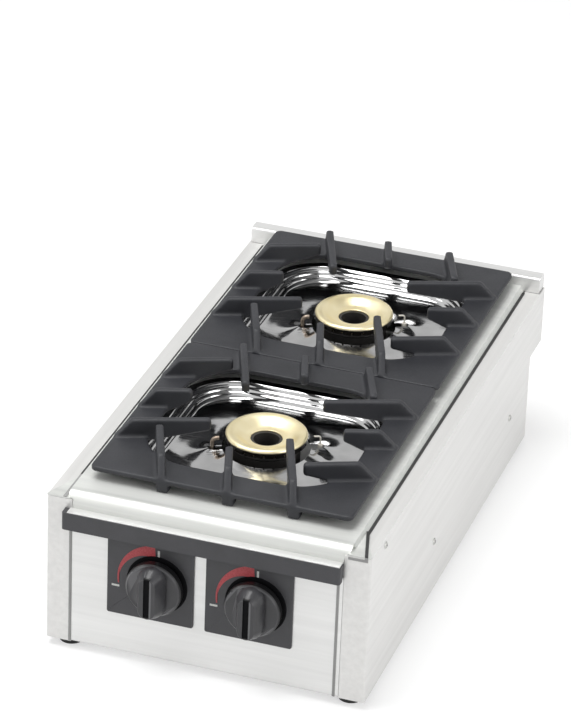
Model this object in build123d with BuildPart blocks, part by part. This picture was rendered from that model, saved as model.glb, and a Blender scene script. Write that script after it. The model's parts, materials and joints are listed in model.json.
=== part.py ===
from build123d import *
import os
from math import cos, hypot, radians, sin

# Countertop gas stove with two burners, one behind the other.
# Millimetres. +X to the user's right, +Y away from the user, +Z up, z = 0 on the counter.
# The origin is under the middle of the whole stove, knobs included.

# Housing
body_width = 300.0
lower_depth = 520.0        # front panel to the lower back wall
hood_depth = 40.0          # how far the rear hood stands out behind the lower back wall
foot_height = 8.0
foot_radius = 13.0
foot_taper = 2.0
foot_inset = 18.0          # foot axes inside the front, lower back and sides
deck_height = 160.0        # flat top the grates stand on
rim_drop = 6.0             # top of the side panels below the deck
hood_step = 10.0           # top of the strip behind the rear grate above the deck
hood_floor = 96.0          # underside of the rear hood
sheet = 1.2                # stainless sheet of the housing
post_width = 24.0          # front posts, folded from the side panels
bend_radius = 2.5
seam = 0.3                 # between sheets that meet edge to edge
rim_width = 15.5           # flat top rim of a side panel
rim_gap = 1.4              # dark line between rim and top plate
nose_radius = 11.0         # rounded front edge of the top plate
nose_drop = 14.0           # front edge of the top plate below the deck
lip_width = 12.0           # inward lips along the bottom of the side panels
deck_slope = 2.6           # how far the top plate's sides lean in
ear_reach = 41.0           # corner ears, along the rims
ear_margin = 0.5
vent_count = 7
vent_length = 60.0
vent_width = 6.0
vent_pitch = 34.0
back_vent_x = -60.0
back_vent_count = 4
back_vent_pitch = 12.0
over = 1.0                 # how far a cut runs past the face that it opens

# Housing screws
screw_radius = 3.6
screw_head = 1.6
screw_shank = 1.8
screw_hole = 2.0
screw_length = 6.0
rail_screw_height = 62.0
post_screw_setback = 42.0
post_screw_drop = 8.0
front_rail_setback = 202.0
rear_rail_setback = 454.0
back_screw_margin = 14.0

# Front trim and controls
bar_width = 258.0
bar_height = 15.0
bar_depth = 10.0
bar_slope = 3.0
plate_width = 81.0
plate_proud = 2.0
plate_bottom = 48.5
plate_shift = -6.5         # middle of a plate from its knob's axis
knob_pitch = 92.0          # between the knob axes
knob_shift = 1.5           # middle of the two axes from the stove's middle
knob_height = 86.5         # knob axes above the counter
knob_radius = 26.0
knob_skirt = 8.0           # depth of the knob's dial
knob_bevel = 2.0
knob_grip = 15.5           # depth of the grip in front of the dial
grip_width = 25.0
grip_margin = 1.0          # ends of the grip inside the dial's edge
grip_shoulder = 4.5        # upright foot of the grip
grip_taper = 24.0          # slope of the grip's crown, degrees from its axis
grip_rounding = 1.2
pointer_width = 3.5        # groove down the grip
pointer_depth = 1.6
knob_gap = 4.5             # behind the dial, room to push the knob in
push_travel = 3.5
stem_radius = 4.0
stem_flat = 1.0            # depth of the flat on the stem
stem_hole_clearance = 1.5

# Grates
grate_width = 244.0
grate_length = 256.0
grate_gap = 0.8            # between front and rear grate
grate_setback = 30.0       # front panel to the front grate
plate_thickness = 5.0
plate_rise = 8.5           # underside of the grate's plate above the deck
grate_corner = 7.0
grate_opening = 190.0      # width of the rounded square opening
opening_corner = 52.0
rib_top = 31.0             # rib tops above the deck
rib_width = 7.0
rib_draft = 10.0           # the mould's draft on a rib's sides, degrees
rib_tip_height = 11.5      # depth of a rib at its inner tip
rib_rise = 16.0            # length of the slope at a rib's outer end
rib_shoulder = 6.0         # rounding where the slope meets the rib's top
rib_tip_edge = 2.0
leg_length = 11.0
leg_width = 11.0
# Outer end and inner tip of the short, middle and long rib of one side, seen from the burner's axis.
# along: measured along that side. reach: how far the tip stays from the axis, square to that side.
rib_roots = (-54.0, 7.0, 68.0)
rib_tips = (-81.0, -10.0, 35.0)
rib_reaches = (61.0, 75.0, 41.0)

# Drip pans
pan_sheet = 0.8
pan_width = 204.0
pan_corner = 56.0
pan_depth = 13.0
pan_rim = 6.0
pan_taper = 40.0           # slope of the wall from upright, degrees
pan_hole_radius = 39.5
pan_clearance = 1.0        # pan wall to the deck's opening
collar_rise = 4.5          # upturned edge round the pan's hole
notch_length = 10.0        # notches in it for the electrode and the probe

# Burners
ring_radius = 37.5
ring_hole_radius = 15.5
ring_height = 8.0
ring_top = 168.0           # top of the burner ring above the counter
ring_edge = 3.0
ring_land = 3.5            # seat round the ring's hole
ring_foot = 4.5            # width of the foot with the flame ports
groove_depth = 4.5         # gas way under the ring
spigot_wall = 1.6
head_radius = 34.0
head_height = 6.0
bowl_radius = 31.0
bowl_bottom = 103.0
bowl_wall = 4.0
air_hole_radius = 12.0     # open way up through the middle of the burner
port_count = 24
port_width = 1.8
port_height = 2.6
spigot_depth = 4.0
spigot_clearance = 0.3
tube_radius = 12.0
tube_wall = 2.5
tube_mouth = 60.0          # front panel to the open end of the mixing tube
tube_bend_lead = 62.0      # where the tube leaves its straight run, in front of the burner's axis
tube_joint_height = 14.0   # tube centre above the bottom of the bowl
tube_bend = 25.0
window_setback = 5.0       # air windows behind the tube's mouth
shutter_length = 16.0
shutter_wall = 1.2
shutter_clearance = 0.08
shutter_window = 9.0
shutter_hole_clearance = 1.0
shutter_setback = 2.0      # shutter's front edge in front of the tube's mouth
rail_width = 34.0
rail_sheet = 2.0
rail_tab = 16.0
ear_length = 12.0          # ears of the rail under the electrode and the probe
ear_width = 10.0
rail_hole_margin = 2.0

# Gas train
valve_radius = 12.0
valve_length = 36.0
valve_setback = 6.0        # front panel to the front of the valve body
collar_wall = 3.5          # clamp of the valve round the manifold
collar_length = 16.0
neck_radius = 7.0
outlet_radius = 2.5        # gas ways
plug_front_radius = 6.5
plug_rear_radius = 5.0
plug_clearance = 0.05
plug_length = 26.0
stem_bore_clearance = 0.05
stem_grip_length = 13.0    # stem inside the knob
stem_plug_length = 12.0    # stem inside the plug
stem_end_gap = 1.0
manifold_radius = 8.0
manifold_wall = 1.5
manifold_height = 58.0
manifold_overhang = 61.0   # manifold's right end beyond the right valve
cap_overhang = 16.0        # its capped end beyond the left valve
pipe_bend = 20.0
inlet_radius = 6.5
inlet_bore_radius = 4.0
inlet_length = 26.0
inlet_groove = 0.8
groove_pitch = 4.0
groove_count = 3
groove_width = 1.6
inlet_nut_radius = 11.0
inlet_nut_length = 10.0
injector_radius = 4.5
injector_length = 28.0
injector_bore = 0.6
nozzle_radius = 3.5
nozzle_wall = 1.0
nozzle_tip = 2.0
hexagon_radius = 6.5
hexagon_length = 5.0
piezo_width = 14.0
piezo_height = 20.0
piezo_length = 30.0
piezo_corner = 2.0
piezo_bite = 1.0           # how far it reaches round the valve
electrode_radius = 2.4
electrode_wire = 0.8
electrode_reach = 49.0     # burner axis to the electrode and the flame probe
electrode_angle = 24.0     # their line through the axis, turned from the left-right line
wire_rise = 8.0
wire_reach = 6.0
wire_bend = 2.0
wire_root = 1.0            # wire's foot inside the ceramic
probe_radius = 2.0

# Worked-out levels and places
half = body_width / 2
rim_height = deck_height - rim_drop
hood_height = deck_height + hood_step
nose_bottom = deck_height - nose_drop
bar_bottom = nose_bottom - bar_height
knob_front = plate_proud + knob_gap + knob_skirt + knob_grip
upper_depth = lower_depth + hood_depth
front = -(upper_depth - knob_front) / 2
lower_back = front + lower_depth
back = front + upper_depth
deck_half = half - rim_width - rim_gap
post_inner = half - post_width
panel_half = post_inner - seam
deck_under = deck_height - sheet
grate_front = front + grate_setback
burner_y = [grate_front + grate_length / 2 + i * (grate_length + grate_gap) for i in range(2)]
hood_front = burner_y[1] + grate_length / 2 + grate_gap
grate_under = deck_height + plate_rise
ribs_top = deck_height + rib_top
ring_bottom = ring_top - ring_height
head_bottom = ring_bottom - head_height
sides = {"left": -1, "right": 1}
places = {"front": 0, "rear": 1}
# The left knob works the front burner and the right knob the rear burner.
knob_x = {0: knob_shift - knob_pitch / 2, 1: knob_shift + knob_pitch / 2}
pipe_x = knob_x[1] + manifold_overhang

os.makedirs("parts", exist_ok=True)

# Screws: places on a side panel (y, height) and on the lower back wall (x, height).
side_screws = [
    (front + post_screw_setback, rim_height - post_screw_drop),
    (front + front_rail_setback, rail_screw_height),
    (front + rear_rail_setback, rail_screw_height),
]
back_screws = [
    (x, z)
    for x in (foot_radius - half, half - foot_radius)
    for z in (foot_height + back_screw_margin, hood_floor - back_screw_margin)
]


# Side panels. Each is one sheet: wall, front post, top rim and bottom lip.
with BuildPart() as right_side:
    with BuildSketch(Plane.XY.offset(foot_height)):
        with BuildLine():
            FilletPolyline(
                (post_inner, front),
                (half, front),
                (half, back),
                radius=bend_radius,
            )
            offset(amount=sheet, side=Side.LEFT)
        make_face()
    extrude(amount=rim_height - foot_height)
    # The wall stops short under the rear hood.
    with BuildSketch(Plane.YZ.offset(half - sheet - over)):
        with Locations((lower_back, foot_height)):
            Rectangle(hood_depth + over, hood_floor - foot_height, align=(Align.MIN, Align.MIN))
    extrude(amount=sheet + 2 * over, mode=Mode.SUBTRACT)
    with BuildSketch(Plane.XY.offset(rim_height - sheet)):
        with Locations((half - sheet / 2, front + sheet / 2)):
            Rectangle(rim_width - sheet / 2, hood_front - front - sheet / 2, align=(Align.MAX, Align.MIN))
    extrude(amount=sheet)
    with BuildSketch(Plane.XY.offset(foot_height)):
        with Locations((half - sheet / 2, front + sheet / 2)):
            Rectangle(lip_width - sheet / 2, lower_depth - 1.5 * sheet - seam, align=(Align.MAX, Align.MIN))
    extrude(amount=sheet)
    with BuildSketch(Plane.XY.offset(foot_height)):
        with Locations((post_inner, front + sheet / 2)):
            Rectangle(post_width - sheet / 2, lip_width - sheet / 2, align=(Align.MIN, Align.MIN))
    extrude(amount=sheet)

    with BuildSketch(Plane.YZ.offset(half - sheet - over)):
        with Locations(*side_screws):
            Circle(screw_hole)
    extrude(amount=sheet + 2 * over, mode=Mode.SUBTRACT)

for side, sign in sides.items():
    with BuildPart() as side_panel:
        if sign > 0:
            add(right_side.part)
        else:
            add(mirror(right_side.part, about=Plane.YZ, mode=Mode.PRIVATE))
    side_panel.part.label = f"{side}_side_panel"
    export_step(side_panel.part, f"parts/{side}_side_panel.step")


# Front panel. It closes the space between the posts and carries the valves.
panel_top = nose_bottom - seam
with BuildPart() as front_panel:
    with BuildSketch(Plane.YZ.offset(-panel_half)):
        with BuildLine():
            FilletPolyline(
                (front + lip_width, foot_height),
                (front, foot_height),
                (front, panel_top),
                radius=bend_radius,
            )
            offset(amount=sheet, side=Side.RIGHT)
        make_face()
    extrude(amount=2 * panel_half)
    with BuildSketch(Plane.XZ.offset(-front - sheet - over)):
        with Locations(*[(x, knob_height) for x in knob_x.values()]):
            Circle(stem_radius + stem_hole_clearance)
    extrude(amount=sheet + 2 * over, mode=Mode.SUBTRACT)
front_panel.part.label = "front_panel"
export_step(front_panel.part, "parts/front_panel.step")


# Base plate, inside the lips of the panels, with a row of vent slots.
base_half = half - lip_width - seam
base_front = front + lip_width + seam
base_depth = lower_back - sheet - seam - base_front
with BuildPart() as base_plate:
    with BuildSketch(Plane.XY.offset(foot_height)):
        with Locations((0, base_front)):
            Rectangle(2 * base_half, base_depth, align=(Align.CENTER, Align.MIN))
        with Locations((0, (base_front + lower_back) / 2)):
            with GridLocations(0, vent_pitch, 1, vent_count):
                SlotOverall(vent_length, vent_width, mode=Mode.SUBTRACT)
    extrude(amount=sheet)
base_plate.part.label = "base_plate"
export_step(base_plate.part, "parts/base_plate.step")


# Lower back wall, with vent slots and the hole for the gas inlet.
wall_half = half - sheet - seam
with BuildPart() as back_panel:
    with BuildSketch(Plane.XZ.offset(-lower_back)):
        with Locations((0, foot_height)):
            Rectangle(2 * wall_half, hood_floor - seam - foot_height, align=(Align.CENTER, Align.MIN))
        with Locations((pipe_x, manifold_height)):
            Circle(inlet_nut_radius + seam, mode=Mode.SUBTRACT)
        with Locations(*back_screws):
            Circle(screw_hole, mode=Mode.SUBTRACT)
        with Locations((back_vent_x, (foot_height + hood_floor) / 2)):
            with GridLocations(0, back_vent_pitch, 1, back_vent_count):
                SlotOverall(vent_length, vent_width, mode=Mode.SUBTRACT)
    extrude(amount=sheet)
back_panel.part.label = "back_panel"
export_step(back_panel.part, "parts/back_panel.step")


# Rear hood: one folded sheet with closed ends, standing out behind the lower back wall.
with BuildPart() as rear_hood:
    with BuildSketch(Plane.YZ.offset(-wall_half)):
        with BuildLine():
            FilletPolyline(
                (lower_back - sheet, hood_floor),
                (back, hood_floor),
                (back, hood_height),
                (hood_front, hood_height),
                (hood_front, rim_height + seam),
                radius=bend_radius,
            )
            offset(amount=sheet, side=Side.RIGHT)
        make_face()
    extrude(amount=2 * wall_half)
    # End caps close the part of the hood that stands above the side panels.
    for end in (-wall_half, wall_half - sheet):
        with BuildSketch(Plane.YZ.offset(end)):
            with Locations((hood_front + sheet / 2, rim_height + seam)):
                Rectangle(
                    back - hood_front - sheet,
                    hood_height - rim_height - seam - bend_radius,
                    align=(Align.MIN, Align.MIN),
                )
            with Locations((hood_front + bend_radius, hood_height - sheet / 2)):
                Rectangle(
                    back - hood_front - 2 * bend_radius,
                    bend_radius,
                    align=(Align.MIN, Align.MAX),
                )
        extrude(amount=sheet)
rear_hood.part.label = "rear_hood"
export_step(rear_hood.part, "parts/rear_hood.step")


# Top plate: a pressed deck with sloping sides, a rounded nose and two corner ears over the posts.
deck_top_half = deck_half - deck_slope
deck_end = hood_front - seam
ear_middle = rim_height + seam + sheet / 2
deck_middle = deck_height - sheet / 2
pan_wall = pan_sheet / cos(radians(pan_taper))
pan_wall_width = pan_width - 2 * pan_rim
pan_wall_corner = pan_corner - pan_rim
with BuildPart() as top_plate:
    with BuildSketch(Plane.XZ.offset(-front - nose_radius)):
        with BuildLine():
            Polyline(
                (-deck_half, rim_height + seam),
                (-deck_top_half, deck_height),
                (deck_top_half, deck_height),
                (deck_half, rim_height + seam),
            )
            offset(amount=sheet, side=Side.RIGHT)
        make_face()
    extrude(amount=-(deck_end - front - nose_radius))
    # The nose: a quarter round across the front, then a short drop between the posts.
    with BuildSketch(Plane.YZ.offset(-deck_top_half)):
        with BuildLine():
            FilletPolyline(
                (front + nose_radius + sheet, deck_height),
                (front, deck_height),
                (front, nose_bottom),
                radius=nose_radius,
            )
            offset(amount=sheet, side=Side.LEFT)
        make_face()
    extrude(amount=2 * deck_top_half)
    with BuildSketch(Plane.XZ.offset(-front + over)):
        with Locations((panel_half, nose_bottom - over), (-panel_half, nose_bottom - over)):
            Rectangle(
                2 * post_width,
                rim_height + seam - nose_bottom + over,
                align=(Align.CENTER, Align.MIN),
            )
        with Locations((0, nose_bottom - over)):
            Rectangle(2 * panel_half, rim_height, align=(Align.CENTER, Align.MIN), mode=Mode.SUBTRACT)
    extrude(amount=-nose_radius - 2 * over, mode=Mode.SUBTRACT)
    # Corner ears, in line with the nose, that lie on the front ends of the side rims.
    for sign in sides.values():
        with BuildSketch(Plane.XY.offset(rim_height + seam)):
            with BuildLine():
                Polyline(
                    (sign * (deck_top_half - 2 * sheet), front),
                    (sign * (half - ear_margin), front),
                    (sign * (half - ear_margin), front + bend_radius),
                    (sign * deck_half, front + ear_reach),
                    (sign * (deck_top_half - 2 * sheet), front + ear_reach),
                    close=True,
                )
            make_face()
        extrude(amount=sheet)
        # The nose's open end is closed above the ear.
        with BuildSketch(Plane.YZ.offset(sign * (deck_top_half - sheet / 2) - sheet / 2)):
            with BuildLine():
                Polyline(
                    (front + sheet / 2, ear_middle),
                    (front + nose_radius + sheet, ear_middle),
                    (front + nose_radius + sheet, deck_middle),
                    (front + nose_radius, deck_middle),
                    close=True,
                )
            make_face()
        extrude(amount=sheet)
    # Openings that the drip pans hang in.
    with BuildSketch(Plane.XY.offset(deck_under - over)):
        with Locations(*[(0, y) for y in burner_y]):
            RectangleRounded(
                pan_wall_width + 2 * pan_clearance,
                pan_wall_width + 2 * pan_clearance,
                pan_wall_corner + pan_clearance,
            )
    extrude(amount=sheet + 2 * over, mode=Mode.SUBTRACT)
top_plate.part.label = "top_plate"
export_step(top_plate.part, "parts/top_plate.step")


# Trim bar across the front, over the joint of nose and front panel.
with BuildPart() as trim_bar:
    with BuildSketch(Plane.YZ.offset(-bar_width / 2)):
        with BuildLine():
            Polyline(
                (front, bar_bottom),
                (front - bar_depth, bar_bottom),
                (front - bar_depth, bar_bottom + bar_height - bar_slope),
                (front - bar_depth + bar_slope, bar_bottom + bar_height),
                (front, bar_bottom + bar_height),
                close=True,
            )
        make_face()
    extrude(amount=bar_width)
    front_corners = trim_bar.edges().filter_by(Axis.Z).group_by(Axis.Y)[0]
    fillet(front_corners, bar_slope)
trim_bar.part.label = "trim_bar"
export_step(trim_bar.part, "parts/trim_bar.step")


# Feet, one group of four.
with BuildPart() as feet:
    for x in (-half + foot_inset, half - foot_inset):
        for y in (front + foot_inset, lower_back - foot_inset):
            with BuildSketch(Plane.XY.offset(foot_height)):
                with Locations((x, y)):
                    Circle(foot_radius)
            with BuildSketch(Plane.XY):
                with Locations((x, y)):
                    Circle(foot_radius - foot_taper)
            loft()
feet.part.label = "feet"
export_step(feet.part, "parts/feet.step")


# Control plates, knobs, stems and valves, one set for each burner.
valve_y = front + valve_setback
valve_end = valve_y + valve_length
manifold_y = valve_y + plug_length / 2
stem_bore_depth = stem_plug_length + push_travel + stem_end_gap
stem_length = stem_grip_length + valve_setback + plate_proud + knob_gap + stem_plug_length
for i, (side, sign) in enumerate(sides.items()):
    x = knob_x[i]

    with BuildPart() as control_plate:
        with BuildSketch(Plane.XZ.offset(-front)):
            with Locations((x + plate_shift, plate_bottom)):
                Rectangle(plate_width, bar_bottom - seam - plate_bottom, align=(Align.CENTER, Align.MIN))
            with Locations((x, knob_height)):
                Circle(stem_radius + stem_hole_clearance, mode=Mode.SUBTRACT)
        extrude(amount=plate_proud)
        fillet(control_plate.edges().filter_by(Axis.Y).group_by(Axis.Z)[0], plate_proud)
    control_plate.part.label = f"{side}_control_plate"
    export_step(control_plate.part, f"parts/{side}_control_plate.step")

    # The knob: a bevelled dial and a broad grip with rounded ends, a sloping crown and a pointer groove.
    knob_plane = Plane(
        origin=(x, front - plate_proud - knob_gap, knob_height),
        x_dir=(1, 0, 0),
        z_dir=(0, -1, 0),
    )
    with BuildPart() as knob:
        with BuildSketch(knob_plane):
            Circle(knob_radius)
        extrude(amount=knob_skirt)
        chamfer(knob.faces().sort_by(Axis.Y)[0].edges(), knob_bevel)
        with BuildSketch(knob_plane.offset(knob_skirt / 2)):
            SlotOverall(2 * (knob_radius - grip_margin), grip_width, rotation=90)
        extrude(amount=knob_skirt / 2 + grip_shoulder)
        extrude(knob.faces().sort_by(Axis.Y)[0], amount=knob_grip - grip_shoulder, taper=grip_taper)
        fillet(knob.faces().sort_by(Axis.Y)[0].edges(), grip_rounding)
        with BuildSketch(knob_plane.offset(knob_skirt + knob_grip - pointer_depth)):
            Rectangle(pointer_width, 2 * knob_radius)
        extrude(amount=pointer_depth + over, mode=Mode.SUBTRACT)
        # Blind bore with a flat, for the stem.
        with BuildSketch(knob_plane.offset(-over)):
            Circle(stem_radius + stem_bore_clearance)
            with Locations((0, stem_radius + stem_bore_clearance)):
                Rectangle(
                    2 * stem_radius + over,
                    2 * stem_flat,
                    mode=Mode.SUBTRACT,
                )
        extrude(amount=stem_grip_length + over + stem_bore_clearance, mode=Mode.SUBTRACT)
    knob.part.label = f"{side}_knob"
    export_step(knob.part, f"parts/{side}_knob.step")

    # Stem with a flat along its whole length, from inside the knob into the plug.
    with BuildPart() as stem:
        with BuildSketch(knob_plane.offset(stem_grip_length)):
            Circle(stem_radius)
            with Locations((0, stem_radius)):
                Rectangle(
                    2 * stem_radius,
                    2 * stem_flat,
                    mode=Mode.SUBTRACT,
                )
        extrude(amount=-stem_length)
    stem.part.label = f"{side}_stem"
    export_step(stem.part, f"parts/{side}_stem.step")

    # Valve body: a barrel with a tapered bore, a neck and a collar clamped round the manifold.
    bore_plane = Plane(origin=(x, valve_y, knob_height), x_dir=(1, 0, 0), z_dir=(0, 1, 0))
    with BuildPart() as valve_body:
        with BuildSketch(bore_plane):
            Circle(valve_radius)
        extrude(amount=valve_length)
        with BuildSketch(Plane.XY.offset(manifold_height)):
            with Locations((x, manifold_y)):
                Circle(neck_radius)
        extrude(amount=knob_height - manifold_height)
        with BuildSketch(Plane.YZ.offset(x - collar_length / 2)):
            with Locations((manifold_y, manifold_height)):
                Circle(manifold_radius + collar_wall)
        extrude(amount=collar_length)
        with BuildSketch(Plane.YZ.offset(x - collar_length / 2 - over)):
            with Locations((manifold_y, manifold_height)):
                Circle(manifold_radius + plug_clearance)
        extrude(amount=collar_length + 2 * over, mode=Mode.SUBTRACT)
        with BuildSketch(bore_plane):
            Circle(plug_front_radius + plug_clearance)
        with BuildSketch(bore_plane.offset(plug_length)):
            Circle(plug_rear_radius + plug_clearance)
        loft(mode=Mode.SUBTRACT)
        # Gas way up from the manifold, and the outlet with the injector's seat.
        with BuildSketch(Plane.XY.offset(manifold_height + manifold_radius)):
            with Locations((x, manifold_y)):
                Circle(outlet_radius)
        extrude(amount=knob_height - manifold_height - manifold_radius, mode=Mode.SUBTRACT)
        with BuildSketch(bore_plane.offset(plug_length)):
            Circle(injector_radius + plug_clearance)
        extrude(amount=valve_length - plug_length, mode=Mode.SUBTRACT)
    valve_body.part.label = f"{side}_valve_body"
    export_step(valve_body.part, f"parts/{side}_valve_body.step")

    # Bonnet that holds the plug in, between valve body and front panel.
    with BuildPart() as bonnet:
        with BuildSketch(bore_plane):
            Circle(valve_radius)
            Circle(stem_radius + stem_bore_clearance, mode=Mode.SUBTRACT)
        extrude(amount=-(valve_setback - sheet - seam))
    bonnet.part.label = f"{side}_valve_bonnet"
    export_step(bonnet.part, f"parts/{side}_valve_bonnet.step")

    # Tapered plug with a socket for the stem and a cross hole into a blind bore at its rear.
    with BuildPart() as plug:
        with BuildSketch(bore_plane.offset(plug_clearance)):
            Circle(plug_front_radius)
        with BuildSketch(bore_plane.offset(plug_length - plug_clearance)):
            Circle(plug_rear_radius)
        loft()
        with BuildSketch(bore_plane):
            Circle(stem_radius + stem_bore_clearance)
            with Locations((0, -stem_radius - stem_bore_clearance)):
                Rectangle(
                    2 * stem_radius + over,
                    2 * stem_flat,
                    mode=Mode.SUBTRACT,
                )
        extrude(amount=stem_bore_depth, mode=Mode.SUBTRACT)
        with BuildSketch(bore_plane.offset(stem_bore_depth + outlet_radius)):
            Circle(outlet_radius)
        extrude(amount=plug_length, mode=Mode.SUBTRACT)
    plug.part.label = f"{side}_valve_plug"
    export_step(plug.part, f"parts/{side}_valve_plug.step")

    # Injector: screwed end, hexagon and a nozzle that reaches into the air shutter.
    seat_length = valve_length - plug_length
    injector_plane = bore_plane.offset(plug_length)
    with BuildPart() as injector:
        with BuildSketch(injector_plane):
            Circle(injector_radius)
        extrude(amount=seat_length)
        with BuildSketch(injector_plane.offset(seat_length)):
            RegularPolygon(hexagon_radius, 6)
        extrude(amount=hexagon_length)
        with BuildSketch(injector_plane.offset(seat_length + hexagon_length)):
            Circle(nozzle_radius)
        extrude(amount=injector_length - seat_length - hexagon_length)
        chamfer(injector.faces().sort_by(Axis.Y)[-1].edges(), nozzle_wall)
        with BuildSketch(injector_plane):
            Circle(nozzle_radius - nozzle_wall)
        extrude(amount=injector_length - nozzle_tip, mode=Mode.SUBTRACT)
        with BuildSketch(injector_plane):
            Circle(injector_bore)
        extrude(amount=injector_length, mode=Mode.SUBTRACT)
    injector.part.label = f"{side}_injector"
    export_step(injector.part, f"parts/{side}_injector.step")

    # Ignition unit clamped on the outer side of the valve.
    piezo_floor = knob_height - piezo_height / 2
    piezo_reach = valve_radius + piezo_width / 2 - piezo_bite
    with BuildPart() as piezo:
        with BuildSketch(Plane.XY.offset(piezo_floor)):
            with Locations((x + sign * piezo_reach, valve_y + piezo_length / 2)):
                RectangleRounded(piezo_width, piezo_length, piezo_corner)
        extrude(amount=piezo_height)
        with BuildSketch(bore_plane.offset(-over)):
            Circle(valve_radius + plug_clearance)
        extrude(amount=piezo_length + 2 * over, mode=Mode.SUBTRACT)
    piezo.part.label = f"{side}_igniter_unit"
    export_step(piezo.part, f"parts/{side}_igniter_unit.step")


# Manifold: one bent tube from the capped left end past both valves and back to the gas inlet.
manifold_start = (knob_x[0] - cap_overhang, manifold_y, manifold_height)
pipe_end = lower_back - inlet_nut_length + sheet
with BuildPart() as gas_manifold:
    with BuildLine() as route:
        FilletPolyline(
            manifold_start,
            (pipe_x, manifold_y, manifold_height),
            (pipe_x, pipe_end, manifold_height),
            radius=pipe_bend,
        )
    with BuildSketch(Plane(origin=manifold_start, z_dir=(1, 0, 0))):
        Circle(manifold_radius)
    sweep()
    with BuildLine() as bore_route:
        FilletPolyline(
            (manifold_start[0] + manifold_wall, manifold_y, manifold_height),
            (pipe_x, manifold_y, manifold_height),
            (pipe_x, pipe_end, manifold_height),
            radius=pipe_bend,
        )
    with BuildSketch(Plane(origin=bore_route.line @ 0, z_dir=(1, 0, 0))):
        Circle(manifold_radius - manifold_wall)
    sweep(path=bore_route.line, mode=Mode.SUBTRACT)
    with BuildSketch(Plane.XY.offset(manifold_height)):
        with Locations(*[(knob_x[i], manifold_y) for i in knob_x]):
            Circle(outlet_radius)
    extrude(amount=manifold_radius + over, mode=Mode.SUBTRACT)
gas_manifold.part.label = "gas_manifold"
export_step(gas_manifold.part, "parts/gas_manifold.step")


# Gas inlet: a nut against the pipe and a grooved hose end behind the back wall.
inlet_plane = Plane(origin=(pipe_x, pipe_end, manifold_height), x_dir=(1, 0, 0), z_dir=(0, 1, 0))
with BuildPart() as gas_inlet:
    with BuildSketch(inlet_plane):
        RegularPolygon(inlet_nut_radius, 6)
    extrude(amount=inlet_nut_length)
    with BuildSketch(inlet_plane.offset(inlet_nut_length)):
        Circle(inlet_radius)
    extrude(amount=inlet_length)
    chamfer(gas_inlet.faces().sort_by(Axis.Y)[-1].edges(), inlet_groove)
    for i in range(groove_count):
        with BuildSketch(inlet_plane.offset(inlet_nut_length + inlet_length - (i + 1) * groove_pitch)):
            Circle(inlet_radius + over)
            Circle(inlet_radius - inlet_groove, mode=Mode.SUBTRACT)
        extrude(amount=groove_width, mode=Mode.SUBTRACT)
    with BuildSketch(inlet_plane):
        Circle(inlet_bore_radius)
    extrude(amount=inlet_nut_length + inlet_length, mode=Mode.SUBTRACT)
gas_inlet.part.label = "gas_inlet"
export_step(gas_inlet.part, "parts/gas_inlet.step")


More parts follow.
